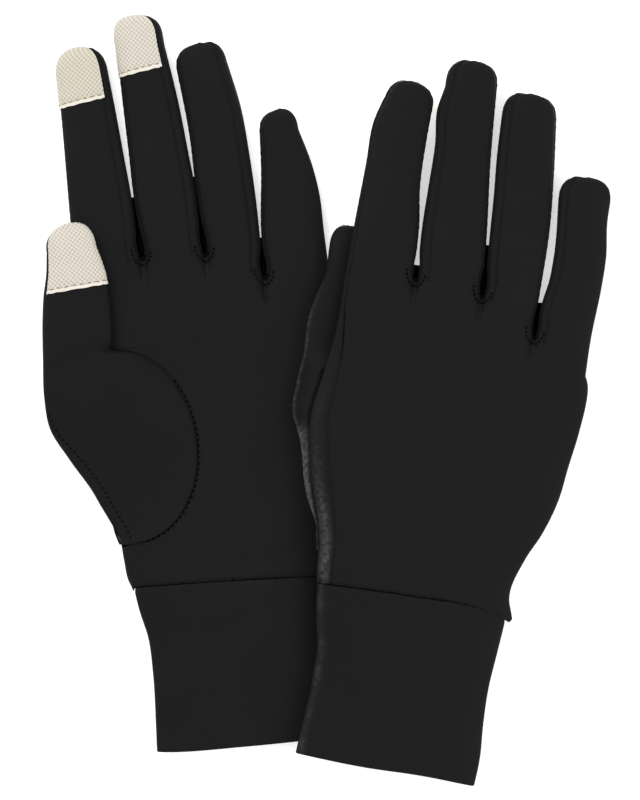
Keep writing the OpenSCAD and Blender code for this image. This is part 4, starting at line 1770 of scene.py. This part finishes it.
    def patch(self, digit: str, grid: Array, inside: Array, start: float, body: str, slant: float) -> None:
        """Cuts a patch out of a digit's surface and sews it on.

        Args:
            digit: The digit's name.
            grid: Outer places of the digit.
            inside: Places inside it.
            start: Length along the glove at the patch's lower edge.
            body: The body that it rides on.
            slant: How much further the lower edge reaches on its outer side, in millimetres.
        """
        cols = grid.shape[1]
        tip = len(grid) - self.tip_rows - 1 + (3 if self.pattern.side is Side.RIGHT else 0)
        across = grid[tip, :, 0] - grid[tip, :, 0].min()
        across = across / across.max()
        edge = start + (across - 0.5) * slant * 0.3 + 0.10 * np.sin(np.arange(cols) * 0.9)
        lower = []
        for t in np.linspace(0, 1, 30)[:-1]:
            l = mix(edge, grid[tip, :, 1], t)
            row = np.stack([np.array([np.interp(l[j], grid[: tip + 1, j, 1], grid[: tip + 1, j, c])
                                      for j in range(cols)]) for c in (0, 2)], axis=-1)
            lower.append(np.stack([row[:, 0], l, row[:, 1]], axis=-1))
        body_rows = np.concatenate([np.stack(lower), grid[tip:]])
        within = body_rows.copy()
        within[..., 0] = inside[-1, :, 0].mean()
        within[..., 2] = inside[-1, :, 2].mean()
        base = Cloth(body_rows, 0.0, within)
        normals = base.normals()
        run = body_rows[..., 1] - edge[None, :]
        plump = 0.22 * smooth((run - 1.4) / 2.0)
        hem = 0.20 * np.exp(-((run - 0.5) / 0.5) ** 2)
        step = np.linalg.norm(np.diff(body_rows, axis=1), axis=-1)
        u = np.concatenate([np.zeros((len(body_rows), 1)), np.cumsum(step, axis=1)], axis=1)
        u -= u[:, cols // 2][:, None]
        turn = math.pi / 1.65
        weave = np.abs(np.sin((u + body_rows[..., 1]) * turn)) * np.abs(np.sin((u - body_rows[..., 1]) * turn))
        relief = -0.16 * weave * smooth((run - 1.6) / 0.8)
        lift = 0.42 + plump + hem + relief
        raised = body_rows + normals * lift[..., None]
        cloth = Cloth(raised, 0.40, within)
        piece = cloth.build(f"{self.name}_{digit}_touch_patch", self.lie)
        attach(piece, body)
        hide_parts(f"{self.name}_{digit}_patch")
        dress(piece, self.finishes.touch_index if digit == "index" else self.finishes.touch)
        piece.data.materials.append(self.finishes.touch_band)
        band = self.finish_band(piece, edge, body_rows)
        path_rows = body_rows + normals * (lift + 0.06)[..., None]
        path = np.stack([np.array([np.interp(edge[j] + 1.45, path_rows[:, j, 1], path_rows[:, j, c])
                                   for c in range(3)]) for j in range(2, cols - 2)])
        points = self.lie.place(path[:, 0], path[:, 1], path[:, 2])
        up = self.lie.place(path[:, 0], path[:, 1], path[:, 2] + np.sign(normals[0, 2:-2, 2] + 1e-9)) - points
        sewing = Stitching(length=1.55, pitch=2.55, thickness=0.36)
        row = sewing.sew(f"{self.name}_{digit}_patch_stitches", points, up)
        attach(row, body)
        dress(row, self.finishes.taupe_thread)
        LOG.info("%s %s touch patch, %d faces in its edge band", self.name, digit, band)

    def finish_band(self, piece: bpy.types.Object, edge: Array, places: Array) -> int:
        """Gives the patch's turned edge its own finish.

        Args:
            piece: The patch.
            edge: Lengths along the glove of its lower edge.
            places: Its places on the pattern.

        Returns:
            How many faces the band has.
        """
        slope = np.polyfit(places[0, :, 0], edge, 1)
        count = len(piece.data.polygons)
        centres = np.zeros(count * 3)
        piece.data.polygons.foreach_get("center", centres)
        a, l = self.lie.pattern_places(centres.reshape(-1, 3))
        in_band = l - np.polyval(slope, a) < self.band_width
        piece.data.polygons.foreach_set("material_index", in_band.astype(np.int32))
        return int(in_band.sum())

    def build(self) -> None:
        """Makes every piece of the glove."""
        self.panel(1)
        self.panel(-1)
        self.palm_wrap()
        self.thumb_faces()
        self.gusset_stitches()
        self.outer_gusset_stitches()
        for face in (1, -1):
            self.crotch_stitches(face)
        for k in range(3):
            self.slit_shade_sheet(k)
        self.cuff()
        self.wrist_seam()
        for k in range(4):
            self.finger(k)
        self.finger_patch(0, 19.6)
        self.finger_patch(1, 20.0)
        self.thumb_patch(23.0)


# ---------------------------------------------------------------- studio


@dataclass
class Studio:
    """Pale floor, soft lights and a camera that looks straight down."""

    distance: float = 1.60
    view_height: float = 0.2845
    centre: tuple[float, float] = (0.0008, -0.0015)
    lens_mm: float = 200.0

    def floor(self) -> None:
        """Lays the pale floor."""
        bpy.ops.mesh.primitive_plane_add(size=6.0, location=(0, 0, -0.0002))
        plane = bpy.context.active_object
        plane.name = "floor"
        plane.data.materials.append(Paper().make())

    def light(self, name: str, place: tuple[float, float, float], size: float, power_w: float) -> None:
        """Hangs one soft square light that faces the gloves.

        Args:
            name: The light's name.
            place: Where it hangs, in metres.
            size: Its side, in metres.
            power_w: Its power, in watts.
        """
        data = bpy.data.lights.new(name, "AREA")
        data.size = size
        data.energy = power_w
        lamp = bpy.data.objects.new(name, data)
        lamp.location = place
        lamp.rotation_euler = (-Vector(place)).to_track_quat("-Z", "Y").to_euler()
        bpy.context.scene.collection.objects.link(lamp)

    def camera(self) -> None:
        """Sets the camera straight above the pair, its up along the fingers."""
        data = bpy.data.cameras.new("camera")
        data.lens = self.lens_mm
        data.sensor_fit = "VERTICAL"
        data.sensor_height = self.view_height * self.lens_mm / self.distance
        data.clip_end = 20.0
        cam = bpy.data.objects.new("camera", data)
        cam.location = (self.centre[0], self.centre[1], self.distance)
        bpy.context.scene.collection.objects.link(cam)
        bpy.context.scene.camera = cam

    def world(self) -> None:
        """Fills the room with soft white light."""
        world = bpy.data.worlds.new("studio")
        world.use_nodes = True
        back = next(n for n in world.node_tree.nodes if n.type == "BACKGROUND")
        back.inputs["Color"].default_value = (1.0, 1.0, 1.0, 1.0)
        back.inputs["Strength"].default_value = 0.75
        bpy.context.scene.world = world
        bpy.context.scene.view_settings.view_transform = "Standard"

    def build(self) -> None:
        """Sets up the whole studio."""
        self.floor()
        self.camera()
        self.world()
        self.light("key", (-0.7, 0.9, 1.3), 0.9, 13.0)
        self.light("fill", (1.0, -0.3, 1.1), 1.1, 7.0)
        LOG.info("studio set up")


def main() -> None:
    """Builds the studio and both gloves."""
    logging.basicConfig(level=logging.INFO, format="%(name)s: %(message)s")
    bpy.ops.object.select_all(action="DESELECT")
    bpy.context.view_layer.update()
    Studio().build()
    finishes = Finishes()
    for pattern in (LEFT, RIGHT):
        Glove(pattern, finishes).build()
    bpy.context.view_layer.update()


if __name__ == "__main__":
    main()
